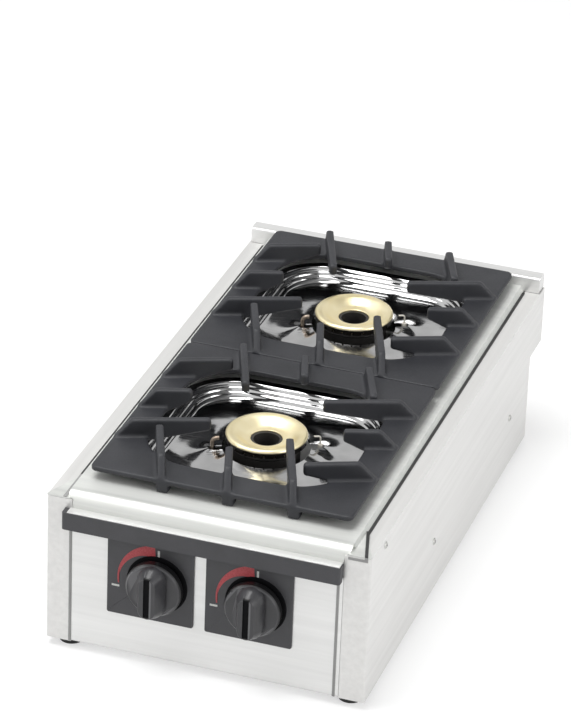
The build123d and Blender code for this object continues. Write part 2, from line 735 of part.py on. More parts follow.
# Burners, front and rear: cast body with its mixing tube, air shutter, ring, rail, electrode and probe.
bore_radius = tube_radius - tube_wall
joint_height = bowl_bottom + tube_joint_height
tube_mouth_y = front + tube_mouth
shutter_front = tube_mouth_y - shutter_setback
port_root = ring_radius - ring_foot
electrode_top = head_bottom
notch_middle = electrode_reach - notch_length / 2
notch_radius = electrode_radius + pan_clearance
for place, i in places.items():
    y = burner_y[i]
    tube_x = knob_x[i]
    section = Plane(origin=(0, y, 0), x_dir=(1, 0, 0), z_dir=(0, -1, 0))
    axis = Axis((0, y, 0), (0, 0, 1))

    # Way of the mixing tube: straight back from the injector, then up and in to the bowl.
    turn = (tube_x, y - tube_bend_lead, knob_height)
    run = hypot(tube_x, tube_bend_lead)
    stop = bowl_radius - 2 * bowl_wall
    end = (tube_x * stop / run, y - tube_bend_lead * stop / run, joint_height)
    with BuildPart() as burner_body:
        with BuildSketch(section):
            with BuildLine():
                Polyline(
                    (air_hole_radius, bowl_bottom),
                    (bowl_radius, bowl_bottom),
                    (bowl_radius, head_bottom),
                    (head_radius, head_bottom + head_radius - bowl_radius),
                    (head_radius, ring_bottom),
                    (air_hole_radius, ring_bottom),
                    close=True,
                )
            make_face()
        revolve(axis=axis)
        with BuildLine() as tube_line:
            FilletPolyline((tube_x, tube_mouth_y, knob_height), turn, end, radius=tube_bend)
        with BuildSketch(Plane(origin=(tube_x, tube_mouth_y, knob_height), z_dir=(0, 1, 0))):
            Circle(tube_radius)
        sweep(path=tube_line.line)
        with BuildSketch(section):
            with Locations((air_hole_radius + bowl_wall, bowl_bottom + bowl_wall)):
                Rectangle(
                    bowl_radius - air_hole_radius - 2 * bowl_wall,
                    ring_bottom - bowl_bottom,
                    align=(Align.MIN, Align.MIN),
                )
        revolve(axis=axis, mode=Mode.SUBTRACT)
        with BuildSketch(Plane(origin=(tube_x, tube_mouth_y, knob_height), z_dir=(0, 1, 0))):
            Circle(bore_radius)
        sweep(path=tube_line.line, mode=Mode.SUBTRACT)
        # Two air windows, left and right, under the shutter.
        with BuildSketch(Plane.YZ.offset(tube_x - tube_radius - over)):
            with Locations((tube_mouth_y + window_setback + shutter_window / 2, knob_height)):
                Rectangle(shutter_window, shutter_window)
        extrude(amount=2 * tube_radius + 2 * over, mode=Mode.SUBTRACT)
    burner_body.part.label = f"{place}_burner_body"
    export_step(burner_body.part, f"parts/{place}_burner_body.step")

    # Air shutter: a sleeve with a front disc, turned on the tube to open or close the windows.
    shutter_plane = Plane(origin=(tube_x, shutter_front, knob_height), x_dir=(1, 0, 0), z_dir=(0, 1, 0))
    with BuildPart() as air_shutter:
        with BuildSketch(shutter_plane):
            Circle(tube_radius + shutter_clearance + shutter_wall)
            Circle(injector_radius + shutter_hole_clearance, mode=Mode.SUBTRACT)
        extrude(amount=shutter_length)
        with BuildSketch(shutter_plane.offset(shutter_wall)):
            Circle(tube_radius + shutter_clearance)
        extrude(amount=shutter_length, mode=Mode.SUBTRACT)
        with BuildSketch(Plane.YZ.offset(tube_x - 2 * tube_radius)):
            with Locations((tube_mouth_y + window_setback + shutter_window / 2, knob_height)):
                Rectangle(shutter_window, shutter_window)
        extrude(amount=4 * tube_radius, mode=Mode.SUBTRACT)
    air_shutter.part.label = f"{place}_air_shutter"
    export_step(air_shutter.part, f"parts/{place}_air_shutter.step")

    # Brass ring: groove below, flame ports round the foot, four spigot tabs that centre it in the bowl.
    with BuildPart() as burner_ring:
        with BuildSketch(section):
            with BuildLine():
                Polyline(
                    (ring_hole_radius, ring_bottom),
                    (ring_hole_radius + ring_land, ring_bottom),
                    (ring_hole_radius + ring_land, ring_bottom + groove_depth),
                    (port_root, ring_bottom + groove_depth),
                    (port_root, ring_bottom),
                    (ring_radius, ring_bottom),
                    (ring_radius, ring_top - ring_edge),
                    (ring_radius - ring_edge, ring_top),
                    (ring_hole_radius + ring_edge / 2, ring_top),
                    (ring_hole_radius, ring_top - ring_edge / 2),
                    close=True,
                )
            make_face()
        revolve(axis=axis)
        with BuildSketch(Plane.XY.offset(ring_bottom - spigot_depth)):
            with Locations((0, y)):
                Circle(bowl_radius - bowl_wall - spigot_clearance)
                Circle(bowl_radius - bowl_wall - spigot_clearance - spigot_wall, mode=Mode.SUBTRACT)
                Rectangle(2 * bowl_radius, bowl_radius / 2, mode=Mode.SUBTRACT)
                Rectangle(bowl_radius / 2, 2 * bowl_radius, mode=Mode.SUBTRACT)
        extrude(amount=spigot_depth + groove_depth)
        with BuildSketch(Plane.XY.offset(ring_bottom)):
            with Locations((0, y)):
                with PolarLocations((port_root + ring_radius) / 2, port_count):
                    Rectangle(ring_radius - port_root + over, port_width)
        extrude(amount=port_height, mode=Mode.SUBTRACT)
    burner_ring.part.label = f"{place}_burner_ring"
    export_step(burner_ring.part, f"parts/{place}_burner_ring.step")

    # Where the electrode and the flame probe stand, on one line through the burner's axis.
    burner_axis = Vector(0, y, 0)
    outward = Vector(cos(radians(electrode_angle)), sin(radians(electrode_angle)), 0)
    electrode_place = burner_axis + outward * electrode_reach
    probe_place = burner_axis - outward * electrode_reach

    # Rail across the housing that carries the burner, with an ear under the electrode and under the probe.
    with BuildPart() as burner_rail:
        with BuildSketch(Plane.XZ.offset(-y - rail_width / 2)):
            with BuildLine():
                FilletPolyline(
                    (-wall_half, bowl_bottom - rail_tab),
                    (-wall_half, bowl_bottom),
                    (wall_half, bowl_bottom),
                    (wall_half, bowl_bottom - rail_tab),
                    radius=bend_radius,
                )
                offset(amount=rail_sheet, side=Side.RIGHT)
            make_face()
        extrude(amount=rail_width)
        with BuildSketch(Plane.XY.offset(bowl_bottom - rail_sheet)):
            with Locations((electrode_place.X, y)):
                Rectangle(ear_width, rail_width / 2 + ear_length, align=(Align.CENTER, Align.MIN))
            with Locations((probe_place.X, y)):
                Rectangle(ear_width, rail_width / 2 + ear_length, align=(Align.CENTER, Align.MAX))
        extrude(amount=rail_sheet)
        with BuildSketch(Plane.XY.offset(bowl_bottom - rail_sheet - over)):
            with Locations((0, y)):
                Circle(air_hole_radius + rail_hole_margin)
        extrude(amount=rail_sheet + 2 * over, mode=Mode.SUBTRACT)
    burner_rail.part.label = f"{place}_burner_rail"
    export_step(burner_rail.part, f"parts/{place}_burner_rail.step")

    # Spark electrode: a ceramic post with a bent wire that points at the ring.
    foot = electrode_place + Vector(0, 0, electrode_top - wire_root)
    knee = electrode_place + Vector(0, 0, electrode_top + wire_rise)
    with BuildPart() as electrode:
        with BuildSketch(Plane.XY.offset(bowl_bottom)):
            with Locations((electrode_place.X, electrode_place.Y)):
                Circle(electrode_radius)
        extrude(amount=electrode_top - bowl_bottom)
        with BuildLine() as wire:
            FilletPolyline(foot, knee, knee - outward * wire_reach, radius=wire_bend)
        with BuildSketch(Plane(origin=foot, z_dir=(0, 0, 1))):
            Circle(electrode_wire)
        sweep(path=wire.line)
    electrode.part.label = f"{place}_electrode"
    export_step(electrode.part, f"parts/{place}_electrode.step")

    # Flame probe: one bent rod on the other side of the ring.
    probe_foot = probe_place + Vector(0, 0, bowl_bottom)
    probe_knee = probe_place + Vector(0, 0, electrode_top + wire_rise)
    with BuildPart() as flame_probe:
        with BuildLine() as probe_line:
            FilletPolyline(probe_foot, probe_knee, probe_knee + outward * wire_reach, radius=2 * wire_bend)
        with BuildSketch(Plane.XY.offset(bowl_bottom)):
            with Locations((probe_place.X, probe_place.Y)):
                Circle(probe_radius)
        sweep(path=probe_line.line)
    flame_probe.part.label = f"{place}_flame_probe"
    export_step(flame_probe.part, f"parts/{place}_flame_probe.step")

    # Drip pan: pressed rounded-square dish hung by its rim, open in the middle round the burner.
    with BuildPart() as drip_pan:
        with BuildSketch(Plane.XY.offset(deck_height)):
            with Locations((0, y)):
                RectangleRounded(pan_width, pan_width, pan_corner)
        extrude(amount=pan_sheet)
        with BuildSketch(Plane.XY.offset(deck_height)):
            with Locations((0, y)):
                RectangleRounded(pan_wall_width, pan_wall_width, pan_wall_corner)
        extrude(amount=-pan_depth, taper=pan_taper)
        with BuildSketch(Plane.XY.offset(deck_height)):
            with Locations((0, y)):
                RectangleRounded(
                    pan_wall_width - 2 * pan_wall,
                    pan_wall_width - 2 * pan_wall,
                    pan_wall_corner - pan_wall,
                )
        extrude(amount=-(pan_depth - pan_sheet), taper=pan_taper, mode=Mode.SUBTRACT)
        with BuildSketch(Plane.XY.offset(deck_height)):
            with Locations((0, y)):
                RectangleRounded(
                    pan_wall_width - 2 * pan_wall,
                    pan_wall_width - 2 * pan_wall,
                    pan_wall_corner - pan_wall,
                )
        extrude(amount=pan_sheet, mode=Mode.SUBTRACT)
        with BuildSketch(Plane.XY.offset(deck_height - pan_depth)):
            with Locations((0, y)):
                Circle(pan_hole_radius + pan_sheet)
        extrude(amount=collar_rise)
        with BuildSketch(Plane.XY.offset(deck_height - pan_depth - over)):
            with Locations((0, y)):
                Circle(pan_hole_radius)
            # Notches let the pan lift past the electrode and the probe.
            for notch in (outward * notch_middle, outward * -notch_middle):
                with Locations((notch.X, y + notch.Y)):
                    SlotCenterToCenter(notch_length, 2 * notch_radius, rotation=electrode_angle)
        extrude(amount=collar_rise + 2 * over, mode=Mode.SUBTRACT)
    drip_pan.part.label = f"{place}_drip_pan"
    export_step(drip_pan.part, f"parts/{place}_drip_pan.step")


# Grates: a cast plate with a rounded square opening and twelve leaning ribs, three to a side.
# Each side has the same three ribs, turned a quarter further round the burner.
quarters = 4
half_length = grate_length / 2
half_width = grate_width / 2
opening_half = grate_opening / 2
for place, i in places.items():
    y = burner_y[i]
    with BuildPart() as grate:
        with BuildSketch(Plane.XY.offset(grate_under)):
            with Locations((0, y)):
                RectangleRounded(grate_width, grate_length, grate_corner)
                RectangleRounded(grate_opening, grate_opening, opening_corner, mode=Mode.SUBTRACT)
        extrude(amount=plate_thickness)
        for quarter in range(quarters):
            outer = half_width if quarter % 2 else half_length
            for root, tip, reach in zip(rib_roots, rib_tips, rib_reaches):
                start = Vector(root, -outer, 0).rotate(Axis.Z, -90 * quarter) + Vector(0, y, 0)
                finish = Vector(tip, -reach, 0).rotate(Axis.Z, -90 * quarter) + Vector(0, y, 0)
                length = (finish - start).length
                # Distance along the rib to the edge of the opening.
                land = length * (outer - opening_half) / (outer - reach)
                rib_plane = Plane(
                    origin=start,
                    x_dir=finish - start,
                    z_dir=(finish - start).cross(Vector(0, 0, 1)),
                )
                with BuildSketch(rib_plane):
                    with BuildLine():
                        FilletPolyline(
                            (0, grate_under + plate_thickness),
                            (rib_rise, ribs_top),
                            (length - rib_tip_edge, ribs_top),
                            radius=rib_shoulder,
                        )
                        Polyline(
                            (length - rib_tip_edge, ribs_top),
                            (length, ribs_top - rib_tip_edge),
                            (length, ribs_top - rib_tip_height),
                            (land, grate_under),
                            (0, grate_under),
                            (0, grate_under + plate_thickness),
                        )
                    make_face()
                extrude(amount=rib_width / 2, both=True, taper=rib_draft)
                if quarter % 2 == 0:
                    leg_side = 1 if quarter else -1
                    with BuildSketch(Plane.XY.offset(deck_height)):
                        with Locations((start.X, y + leg_side * (half_length - leg_length / 2))):
                            Rectangle(leg_width, leg_length)
                    extrude(amount=plate_rise + plate_thickness)
        with BuildSketch(Plane.XY.offset(deck_height)):
            with Locations((0, y)):
                RectangleRounded(grate_width, grate_length, grate_corner)
        extrude(amount=rib_top, mode=Mode.INTERSECT)
    grate.part.label = f"{place}_grate"
    export_step(grate.part, f"parts/{place}_grate.step")


# Housing screws, one group: three on each side panel and four on the lower back wall.
screw_planes = [
    Plane(origin=(sign * half, y, z), z_dir=(sign, 0, 0))
    for sign in sides.values()
    for y, z in side_screws
]
screw_planes += [Plane(origin=(x, lower_back, z), z_dir=(0, 1, 0)) for x, z in back_screws]
with BuildPart() as housing_screws:
    for head_plane in screw_planes:
        with BuildSketch(head_plane):
            Circle(screw_radius)
        with BuildSketch(head_plane.offset(screw_head)):
            Circle(screw_radius / 2)
        loft()
        with BuildSketch(head_plane):
            Circle(screw_shank)
        extrude(amount=-screw_length)
housing_screws.part.label = "housing_screws"
export_step(housing_screws.part, "parts/housing_screws.step")
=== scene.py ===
import bmesh
import bpy
import json
from math import cos, pi, radians, sin, tau
from mathutils import Matrix, Vector


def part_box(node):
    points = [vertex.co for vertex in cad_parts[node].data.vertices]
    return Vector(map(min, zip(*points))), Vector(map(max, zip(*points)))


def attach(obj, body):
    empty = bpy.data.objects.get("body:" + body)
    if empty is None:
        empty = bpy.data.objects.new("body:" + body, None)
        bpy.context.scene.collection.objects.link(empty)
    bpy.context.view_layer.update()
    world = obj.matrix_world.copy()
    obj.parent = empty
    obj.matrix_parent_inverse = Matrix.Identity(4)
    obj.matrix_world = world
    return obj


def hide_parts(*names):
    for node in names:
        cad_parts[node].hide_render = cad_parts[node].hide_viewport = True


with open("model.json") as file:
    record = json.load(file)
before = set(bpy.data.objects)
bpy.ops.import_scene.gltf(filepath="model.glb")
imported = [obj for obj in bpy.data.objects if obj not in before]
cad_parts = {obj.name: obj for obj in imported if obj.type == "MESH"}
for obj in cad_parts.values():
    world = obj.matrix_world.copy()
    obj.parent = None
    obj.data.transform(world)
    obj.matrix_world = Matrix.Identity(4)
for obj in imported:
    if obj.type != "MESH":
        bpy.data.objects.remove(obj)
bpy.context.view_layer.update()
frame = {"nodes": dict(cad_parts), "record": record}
nodes_at_rest = frame["nodes"]
bodies = frame["record"]["behaviour"]["bodies"]
body_of = {node: body for body, members in bodies.items() for node in members}


# The housing is folded from brushed stainless sheet: two sides, front, top, hood, back and base. The grain
# runs the long way of each sheet, a little cloudy where hands wiped it. The press leaves the deck's nose
# more polished than the flat behind it.
fine_scratches = (14.0, 1400.0, 2.0)  # pitch along the grain, pitch across it, detail
broad_scratches = (4.0, 160.0, 3.0)
fine_scratch_depth = 0.000008
broad_scratch_depth = 0.00001
wiped_cloud_pitch = 9.0
nose_metallic = 0.62
flat_metallic = 0.18
nose_polish_end = 0.0100
flat_polish_start = 0.0150


def new_finish(name, metallic=0.0, roughness=0.5):
    """A material with one shader, and that shader."""
    finish = bpy.data.materials.new(name)
    finish.use_nodes = True
    shader = finish.node_tree.nodes["Principled BSDF"]
    shader.inputs["Metallic"].default_value = metallic
    shader.inputs["Roughness"].default_value = roughness
    return finish, shader


def feed(finish, socket, value):
    """Links a value to one socket of the finish's shader."""
    tree = finish.node_tree
    tree.links.new(value, tree.nodes["Principled BSDF"].inputs[socket])


def object_pattern(finish, scale=(1, 1, 1), offset=(0, 0, 0)):
    """Object coordinates, stretched by scale per axis and shifted by offset."""
    tree = finish.node_tree
    place = tree.nodes.new("ShaderNodeTexCoord")
    stretch = tree.nodes.new("ShaderNodeMapping")
    stretch.inputs["Scale"].default_value = scale
    stretch.inputs["Location"].default_value = offset
    tree.links.new(place.outputs["Object"], stretch.inputs["Vector"])
    return stretch.outputs["Vector"]


def axes_of(finish, vector):
    """The X, Y and Z of a vector."""
    split = finish.node_tree.nodes.new("ShaderNodeSeparateXYZ")
    finish.node_tree.links.new(vector, split.inputs["Vector"])
    return split.outputs


def noise(finish, vector, scale, detail, roughness=0.55):
    """A grey noise read at a pattern's vector."""
    tree = finish.node_tree
    cloud = tree.nodes.new("ShaderNodeTexNoise")
    cloud.inputs["Scale"].default_value = scale
    cloud.inputs["Detail"].default_value = detail
    cloud.inputs["Roughness"].default_value = roughness
    tree.links.new(vector, cloud.inputs["Vector"])
    return cloud.outputs["Fac"]


def spread(finish, value, low, high, start=0.3, stop=0.7):
    """A grey value stretched from start and stop to low and high."""
    tree = finish.node_tree
    remap = tree.nodes.new("ShaderNodeMapRange")
    remap.inputs["From Min"].default_value = start
    remap.inputs["From Max"].default_value = stop
    remap.inputs["To Min"].default_value = low
    remap.inputs["To Max"].default_value = high
    tree.links.new(value, remap.inputs["Value"])
    return remap.outputs["Result"]


def tint(finish, cloud, dark, light):
    """A colour between two, chosen by a grey noise."""
    tree = finish.node_tree
    blend = tree.nodes.new("ShaderNodeMix")
    blend.data_type = "RGBA"
    blend.inputs["A"].default_value = (*dark, 1)
    blend.inputs["B"].default_value = (*light, 1)
    tree.links.new(spread(finish, cloud, 0, 1), blend.inputs["Factor"])
    return blend.outputs["Result"]


def relief(finish, height, depth, strength, under=None):
    """A bump from a grey value, in metres, laid over another bump where one is given."""
    tree = finish.node_tree
    bump = tree.nodes.new("ShaderNodeBump")
    bump.inputs["Distance"].default_value = depth
    bump.inputs["Strength"].default_value = strength
    tree.links.new(height, bump.inputs["Height"])
    if under is not None:
        tree.links.new(under, bump.inputs["Normal"])
    return bump.outputs["Normal"]


def brushed_stainless(name, grain_axis, dark, light, roughness=(0.29, 0.38), metallic=0.6):
    """Stainless sheet with its grain along one axis, 0 for X and 1 for Y."""
    finish, _ = new_finish(name, metallic=metallic)
    layers = []
    for along, across, detail in (fine_scratches, broad_scratches):
        pitch = [across] * 3
        pitch[grain_axis] = along
        layers.append(noise(finish, object_pattern(finish, pitch), 1.0, detail))
    fine, broad = layers
    cloudy = noise(finish, object_pattern(finish), wiped_cloud_pitch, 4.0)
    under = relief(finish, broad, broad_scratch_depth, 0.2)
    feed(finish, "Base Color", tint(finish, broad, dark, light))
    feed(finish, "Roughness", spread(finish, cloudy, *roughness))
    feed(finish, "Normal", relief(finish, fine, fine_scratch_depth, 0.3, under))
    return finish


def coat(node, finish):
    """Gives a carried-over node its finish."""
    materials = nodes_at_rest[node].data.materials
    materials.clear()
    materials.append(finish)


lengthwise_sheet = brushed_stainless(
    "stainless_lengthwise", 1, (0.725, 0.72, 0.705), (0.795, 0.79, 0.775), metallic=0.45,
)
crosswise_sheet = brushed_stainless("stainless_crosswise", 0, (0.74, 0.74, 0.73), (0.80, 0.80, 0.79))
deck_sheet = brushed_stainless("stainless_deck", 0, (0.64, 0.65, 0.63), (0.72, 0.73, 0.70), (0.34, 0.46))
deck_low, deck_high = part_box("top_plate")
_, deck_run, _ = axes_of(deck_sheet, object_pattern(deck_sheet))
feed(deck_sheet, "Metallic", spread(
    deck_sheet, deck_run, nose_metallic, flat_metallic,
    deck_low.y + nose_polish_end, deck_low.y + flat_polish_start,
))
for node in ("left_side_panel", "right_side_panel"):
    coat(node, lengthwise_sheet)
for node in ("front_panel", "back_panel", "base_plate", "rear_hood"):
    coat(node, crosswise_sheet)
coat("top_plate", deck_sheet)


# The two control plates and the trim bar are steel, painted charcoal with a satin, faintly pebbled coat. The
# paint softens their edges. The bar is flat under the nose, and its lower edge laps over the plates' tops.
merge_distance = 0.000002
flat_within = radians(0.6)
bevelled_from = radians(32)
creased_from = radians(28)
plate_edge = 0.0005
bar_edge = 0.0004
bar_lap = 0.0030
bar_lap_gap = 0.0026
bar_seat = 0.0002
bar_corner = 0.0026
bar_shift = -0.0035
lip_thick = 0.0009
same_place = 0.00001


def piece_from(form, name):
    """The form's mesh as a piece in the scene."""
    mesh = bpy.data.meshes.new(name)
    form.to_mesh(mesh)
    form.free()
    piece = bpy.data.objects.new(name, mesh)
    bpy.context.scene.collection.objects.link(piece)
    return piece


def merged_copy(node, name):
    """A carried-over node's shape as one closed mesh with clean flat faces."""
    form = bmesh.new()
    form.from_mesh(nodes_at_rest[node].data)
    bmesh.ops.remove_doubles(form, verts=form.verts, dist=merge_distance)
    bmesh.ops.dissolve_limit(form, angle_limit=flat_within, verts=form.verts, edges=form.edges)
    bmesh.ops.recalc_face_normals(form, faces=form.faces)
    return piece_from(form, name)


def settle(piece):
    """Applies the modifiers of a piece to its mesh."""
    bpy.context.view_layer.update()
    depsgraph = bpy.context.evaluated_depsgraph_get()
    made = bpy.data.meshes.new_from_object(piece.evaluated_get(depsgraph), depsgraph=depsgraph)
    piece.modifiers.clear()
    old = piece.data
    piece.data = made
    bpy.data.meshes.remove(old)


def smooth(piece, crease):
    """Smooth faces, with an edge wherever two of them meet at more than the crease."""
    piece.data.shade_smooth()
    piece.data.set_sharp_from_angle(angle=crease)


def soften_edges(piece, width, segments=2):
    """Rounds the sharp edges of a piece and smooths its curved faces."""
    edge = piece.modifiers.new("soft_edges", "BEVEL")
    edge.width = width
    edge.segments = segments
    edge.limit_method = "ANGLE"
    edge.angle_limit = bevelled_from
    edge.use_clamp_overlap = True
    settle(piece)
    smooth(piece, creased_from)
    even = piece.modifiers.new("even_shading", "WEIGHTED_NORMAL")
    even.keep_sharp = True
    settle(piece)


def give_finish(piece, finish):
    """One finish on all faces of a new piece."""
    piece.data.materials.clear()
    piece.data.materials.append(finish)
    for face in piece.data.polygons:
        face.material_index = 0


def stand_in(piece, node, finish):
    """The piece gets its finish and slot, and takes the node's place and body."""
    give_finish(piece, finish)
    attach(piece, body_of[node])
    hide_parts(node)


def closed_prism(form, near, far):
    """Joins two outlines of as many points each, and closes both ends."""
    near, far = [[form.verts.new(point) for point in outline] for outline in (near, far)]
    form.faces.new(near)
    form.faces.new(far[::-1])
    for point in range(len(near)):
        after = (point + 1) % len(near)
        form.faces.new((near[point], near[after], far[after], far[point]))


def patchy_finish(name, dark, light, rough, drift, patches, grain, depth, metallic=0.0):
    """Tone and shine drift in slow patches, under a fine grain. patches holds their pitch and detail."""
    finish, _ = new_finish(name, metallic, rough)
    pattern = object_pattern(finish)
    cloud = noise(finish, pattern, *patches)
    feed(finish, "Base Color", tint(finish, cloud, dark, light))
    feed(finish, "Roughness", spread(finish, cloud, rough + drift[0], rough + drift[1]))
    feed(finish, "Normal", relief(finish, noise(finish, pattern, grain, 2.0), depth, 0.5))
    return finish


def satin_paint(name, dark, light, rough=0.42):
    """Satin paint on steel, with the slight pebble of a sprayed coat."""
    return patchy_finish(name, dark, light, rough, (-0.05, 0.08), (30.0, 4.0), 1400.0, 0.00003)


def painted_bar():
    """The trim bar, with its front corners rounded."""
    low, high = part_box("trim_bar")
    back = high.y
    section = (
        (back - bar_lap_gap, low.z - bar_lap),
        (low.y, low.z - bar_lap),
        (low.y, high.z - lip_thick),
        (back, high.z - lip_thick),
        (back, low.z + bar_seat),
        (back - bar_lap_gap, low.z + bar_seat),
    )
    form = bmesh.new()
    closed_prism(form, *[[(end + bar_shift, y, z) for y, z in section] for end in (low.x, high.x)])
    bmesh.ops.recalc_face_normals(form, faces=form.faces)
    corners = [
        edge for edge in form.edges
        if all(abs(vert.co.y - low.y) < same_place for vert in edge.verts)
        and abs(edge.verts[0].co.x - edge.verts[1].co.x) < same_place
    ]
    bmesh.ops.bevel(form, geom=corners, offset=bar_corner, segments=5, affect="EDGES", profile=0.5)
    return piece_from(form, "trim_bar_painted")


charcoal = satin_paint("charcoal_paint", (0.040, 0.040, 0.044), (0.058, 0.058, 0.064))
for node in ("left_control_plate", "right_control_plate"):
    plate = merged_copy(node, node + "_painted")
    soften_edges(plate, plate_edge)
    stand_in(plate, node, charcoal)
bar = painted_bar()
soften_edges(bar, bar_edge)
stand_in(bar, "trim_bar", charcoal)


# Near-black strips paint the shadow in the gaps between deck and side rims, and one paints the shadow line
# across the right corner ear. Grey strips paint the shade along the left ear, under the front edge of the
# right one and in the seams between the front panel and its posts, and a bright lip of the nose lies on the
# trim bar.
gap_shade_from = 0.1326
gap_shade_to = 0.1356
gap_shade_thick = 0.0008
gap_shade_bury = 0.0006
gap_shade_rear_gap = 0.0040
ear_length = 0.0410
ear_rise = 0.0015
ear_overlap = 0.0010
ear_bury = 0.0002
ear_tip_from = 0.1440
ear_tip_to = 0.1470
ear_foot_from = 0.1290
right_ear_shift = -0.0006
left_ear_shift = 0.0010
edge_shade_proud = 0.0005
edge_shade_drop = 0.0036
edge_shade_foot_drop = 0.0010
edge_shade_overlap = 0.0001
edge_shade_sink = 0.0002
lip_from = -0.1275
lip_end_gap = 0.0010
lip_setback = 0.0008
joint_places = {"left": -0.1272, "right": 0.1213}
joint_half_width = 0.0013
joint_proud = 0.0004
joint_low_gap = 0.0005
joint_top_gap = 0.0003
strip_bury = 0.0002
strip_edge = 0.00015


def oblong(left, right, near, far):
    """The corners of a rectangle."""
    return [(left, near), (right, near), (right, far), (left, far)]


def fasten(piece, node, finish):
    """The piece gets its finish and slot, and moves with the node that it lies on."""
    give_finish(piece, finish)
    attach(piece, body_of[node])


def flat_strip(name, parts, finish):
    """Thin strips as one mesh. Each has its outline as x and y, and its lowest and highest z."""
    form = bmesh.new()
    for outline, bottom, top in parts:
        closed_prism(form, *[[(x, y, level) for x, y in outline] for level in (bottom, top)])
    bmesh.ops.recalc_face_normals(form, faces=form.faces)
    strip = piece_from(form, name)
    soften_edges(strip, strip_edge)
    fasten(strip, "top_plate", finish)


# Painted shadow: a near-black finish for the strips that stand in for the shade in the deck's side gaps and
# across the right ear.
gap_shade_black = satin_paint("gap_shade_black", (0.016, 0.016, 0.016), (0.030, 0.030, 0.030), 0.6)
# Painted shade: a grey finish for the strips along the left ear, under the right ear's front edge and in the
# front panel's seams.
shade_grey = satin_paint("painted_edge_shade", (0.30, 0.30, 0.295), (0.37, 0.37, 0.365), 0.5)
bar_low, bar_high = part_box("trim_bar")
panel_low, panel_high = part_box("front_panel")
_, rim_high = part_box("right_side_panel")
ear_back = deck_low.y + ear_length
ear_top = rim_high.z + ear_rise
edge_shade_front = deck_low.y - edge_shade_proud
edge_shade_back = deck_low.y + strip_bury
# Painted shadow in the gaps between deck and side rims.
for side, sign in (("left", -1), ("right", 1)):
    flat_strip(side + "_deck_gap_shade", [(
        oblong(sign * gap_shade_from, sign * gap_shade_to, ear_back - ear_overlap, deck_high.y - gap_shade_rear_gap),
        rim_high.z - gap_shade_bury, rim_high.z + gap_shade_thick,
    )], gap_shade_black)
# Painted shadow line across the right corner ear.
flat_strip("right_ear_gap_shade", [(
    [
        (gap_shade_from + right_ear_shift, ear_back + ear_overlap),
        (gap_shade_to + right_ear_shift, ear_back + ear_overlap),
        (ear_tip_to, edge_shade_front),
        (ear_tip_from, edge_shade_front),
    ],
    ear_top - ear_bury, ear_top + gap_shade_thick,
)], gap_shade_black)
# Painted shade along the left ear.
flat_strip("left_ear_shade_strip", [(
    oblong(left_ear_shift - gap_shade_to, left_ear_shift - gap_shade_from, deck_low.y, ear_back + ear_overlap),
    ear_top - ear_bury, ear_top + gap_shade_thick,
)], shade_grey)
# Painted shade under the right ear's front edge.
flat_strip("right_ear_shade_strip", [
    (
        oblong(ear_tip_from, ear_tip_to, edge_shade_front, edge_shade_back),
        rim_high.z - edge_shade_drop, ear_top + gap_shade_thick - edge_shade_sink,
    ),
    (
        oblong(ear_foot_from, ear_tip_from + edge_shade_overlap, edge_shade_front, edge_shade_back),
        rim_high.z - edge_shade_drop, rim_high.z - edge_shade_foot_drop,
    ),
], shade_grey)
flat_strip("nose_lip", [(
    oblong(lip_from, bar_high.x + bar_shift - lip_end_gap, bar_low.y + lip_setback, bar_high.y + strip_bury),
    bar_high.z - lip_thick, bar_high.z,
)], crosswise_sheet)
# Painted shade in the seams between the front panel and its posts.
for side, middle in joint_places.items():
    flat_strip(side + "_joint_shade_strip", [(
        oblong(
            middle - joint_half_width, middle + joint_half_width,
            panel_low.y - joint_proud, panel_low.y + strip_bury,
        ),
        panel_low.z + joint_low_gap, panel_high.z - joint_top_gap,
    )], shade_grey)


# Dial marks are printed on each control plate in thick screen ink: a red arc that widens towards twelve
# o'clock, a short white dash where it starts and a white tick where it ends.
ink_thick = 0.00012
ink_proud = 0.00005
arc_steps = 28
arc_start = radians(189)
arc_stop = radians(94)
arc_outer_start = 0.0372
arc_outer_stop = 0.0385
arc_thin = 0.0012
arc_thick = 0.0125
arc_swell = 1.6
dash_angle = radians(193)
dash_reach = 0.0400
dash_half_length = 0.0036
tick_reach = 0.0310
tick_half_length = 0.0036
tick_shift = 0.0010
mark_half_width = 0.0010


def print_ink(name, dark, light):
    """Screen-printed ink, slightly uneven."""
    finish, _ = new_finish(name, roughness=0.48)
    uneven = noise(finish, object_pattern(finish), 900.0, 3.0)
    feed(finish, "Base Color", tint(finish, uneven, dark, light))
    feed(finish, "Normal", relief(finish, uneven, 0.00002, 0.4))
    return finish


def printed_mark(side, name, outline, ink):
    """A flat mark of ink on a control plate. outline has x and z from the knob's axis."""
    low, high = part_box(side + "_knob")
    plate_low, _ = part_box(side + "_control_plate")
    axis_x = (low.x + high.x) / 2
    axis_z = (low.z + high.z) / 2
    front = plate_low.y - ink_proud
    form = bmesh.new()
    closed_prism(form, *[
        [(axis_x + x, level, axis_z + z) for x, z in outline] for level in (front, front + ink_thick)
    ])
    bmesh.ops.triangulate(form, faces=[face for face in form.faces if len(face.verts) > 4])
    bmesh.ops.recalc_face_normals(form, faces=form.faces)
    fasten(piece_from(form, side + name), side + "_control_plate", ink)


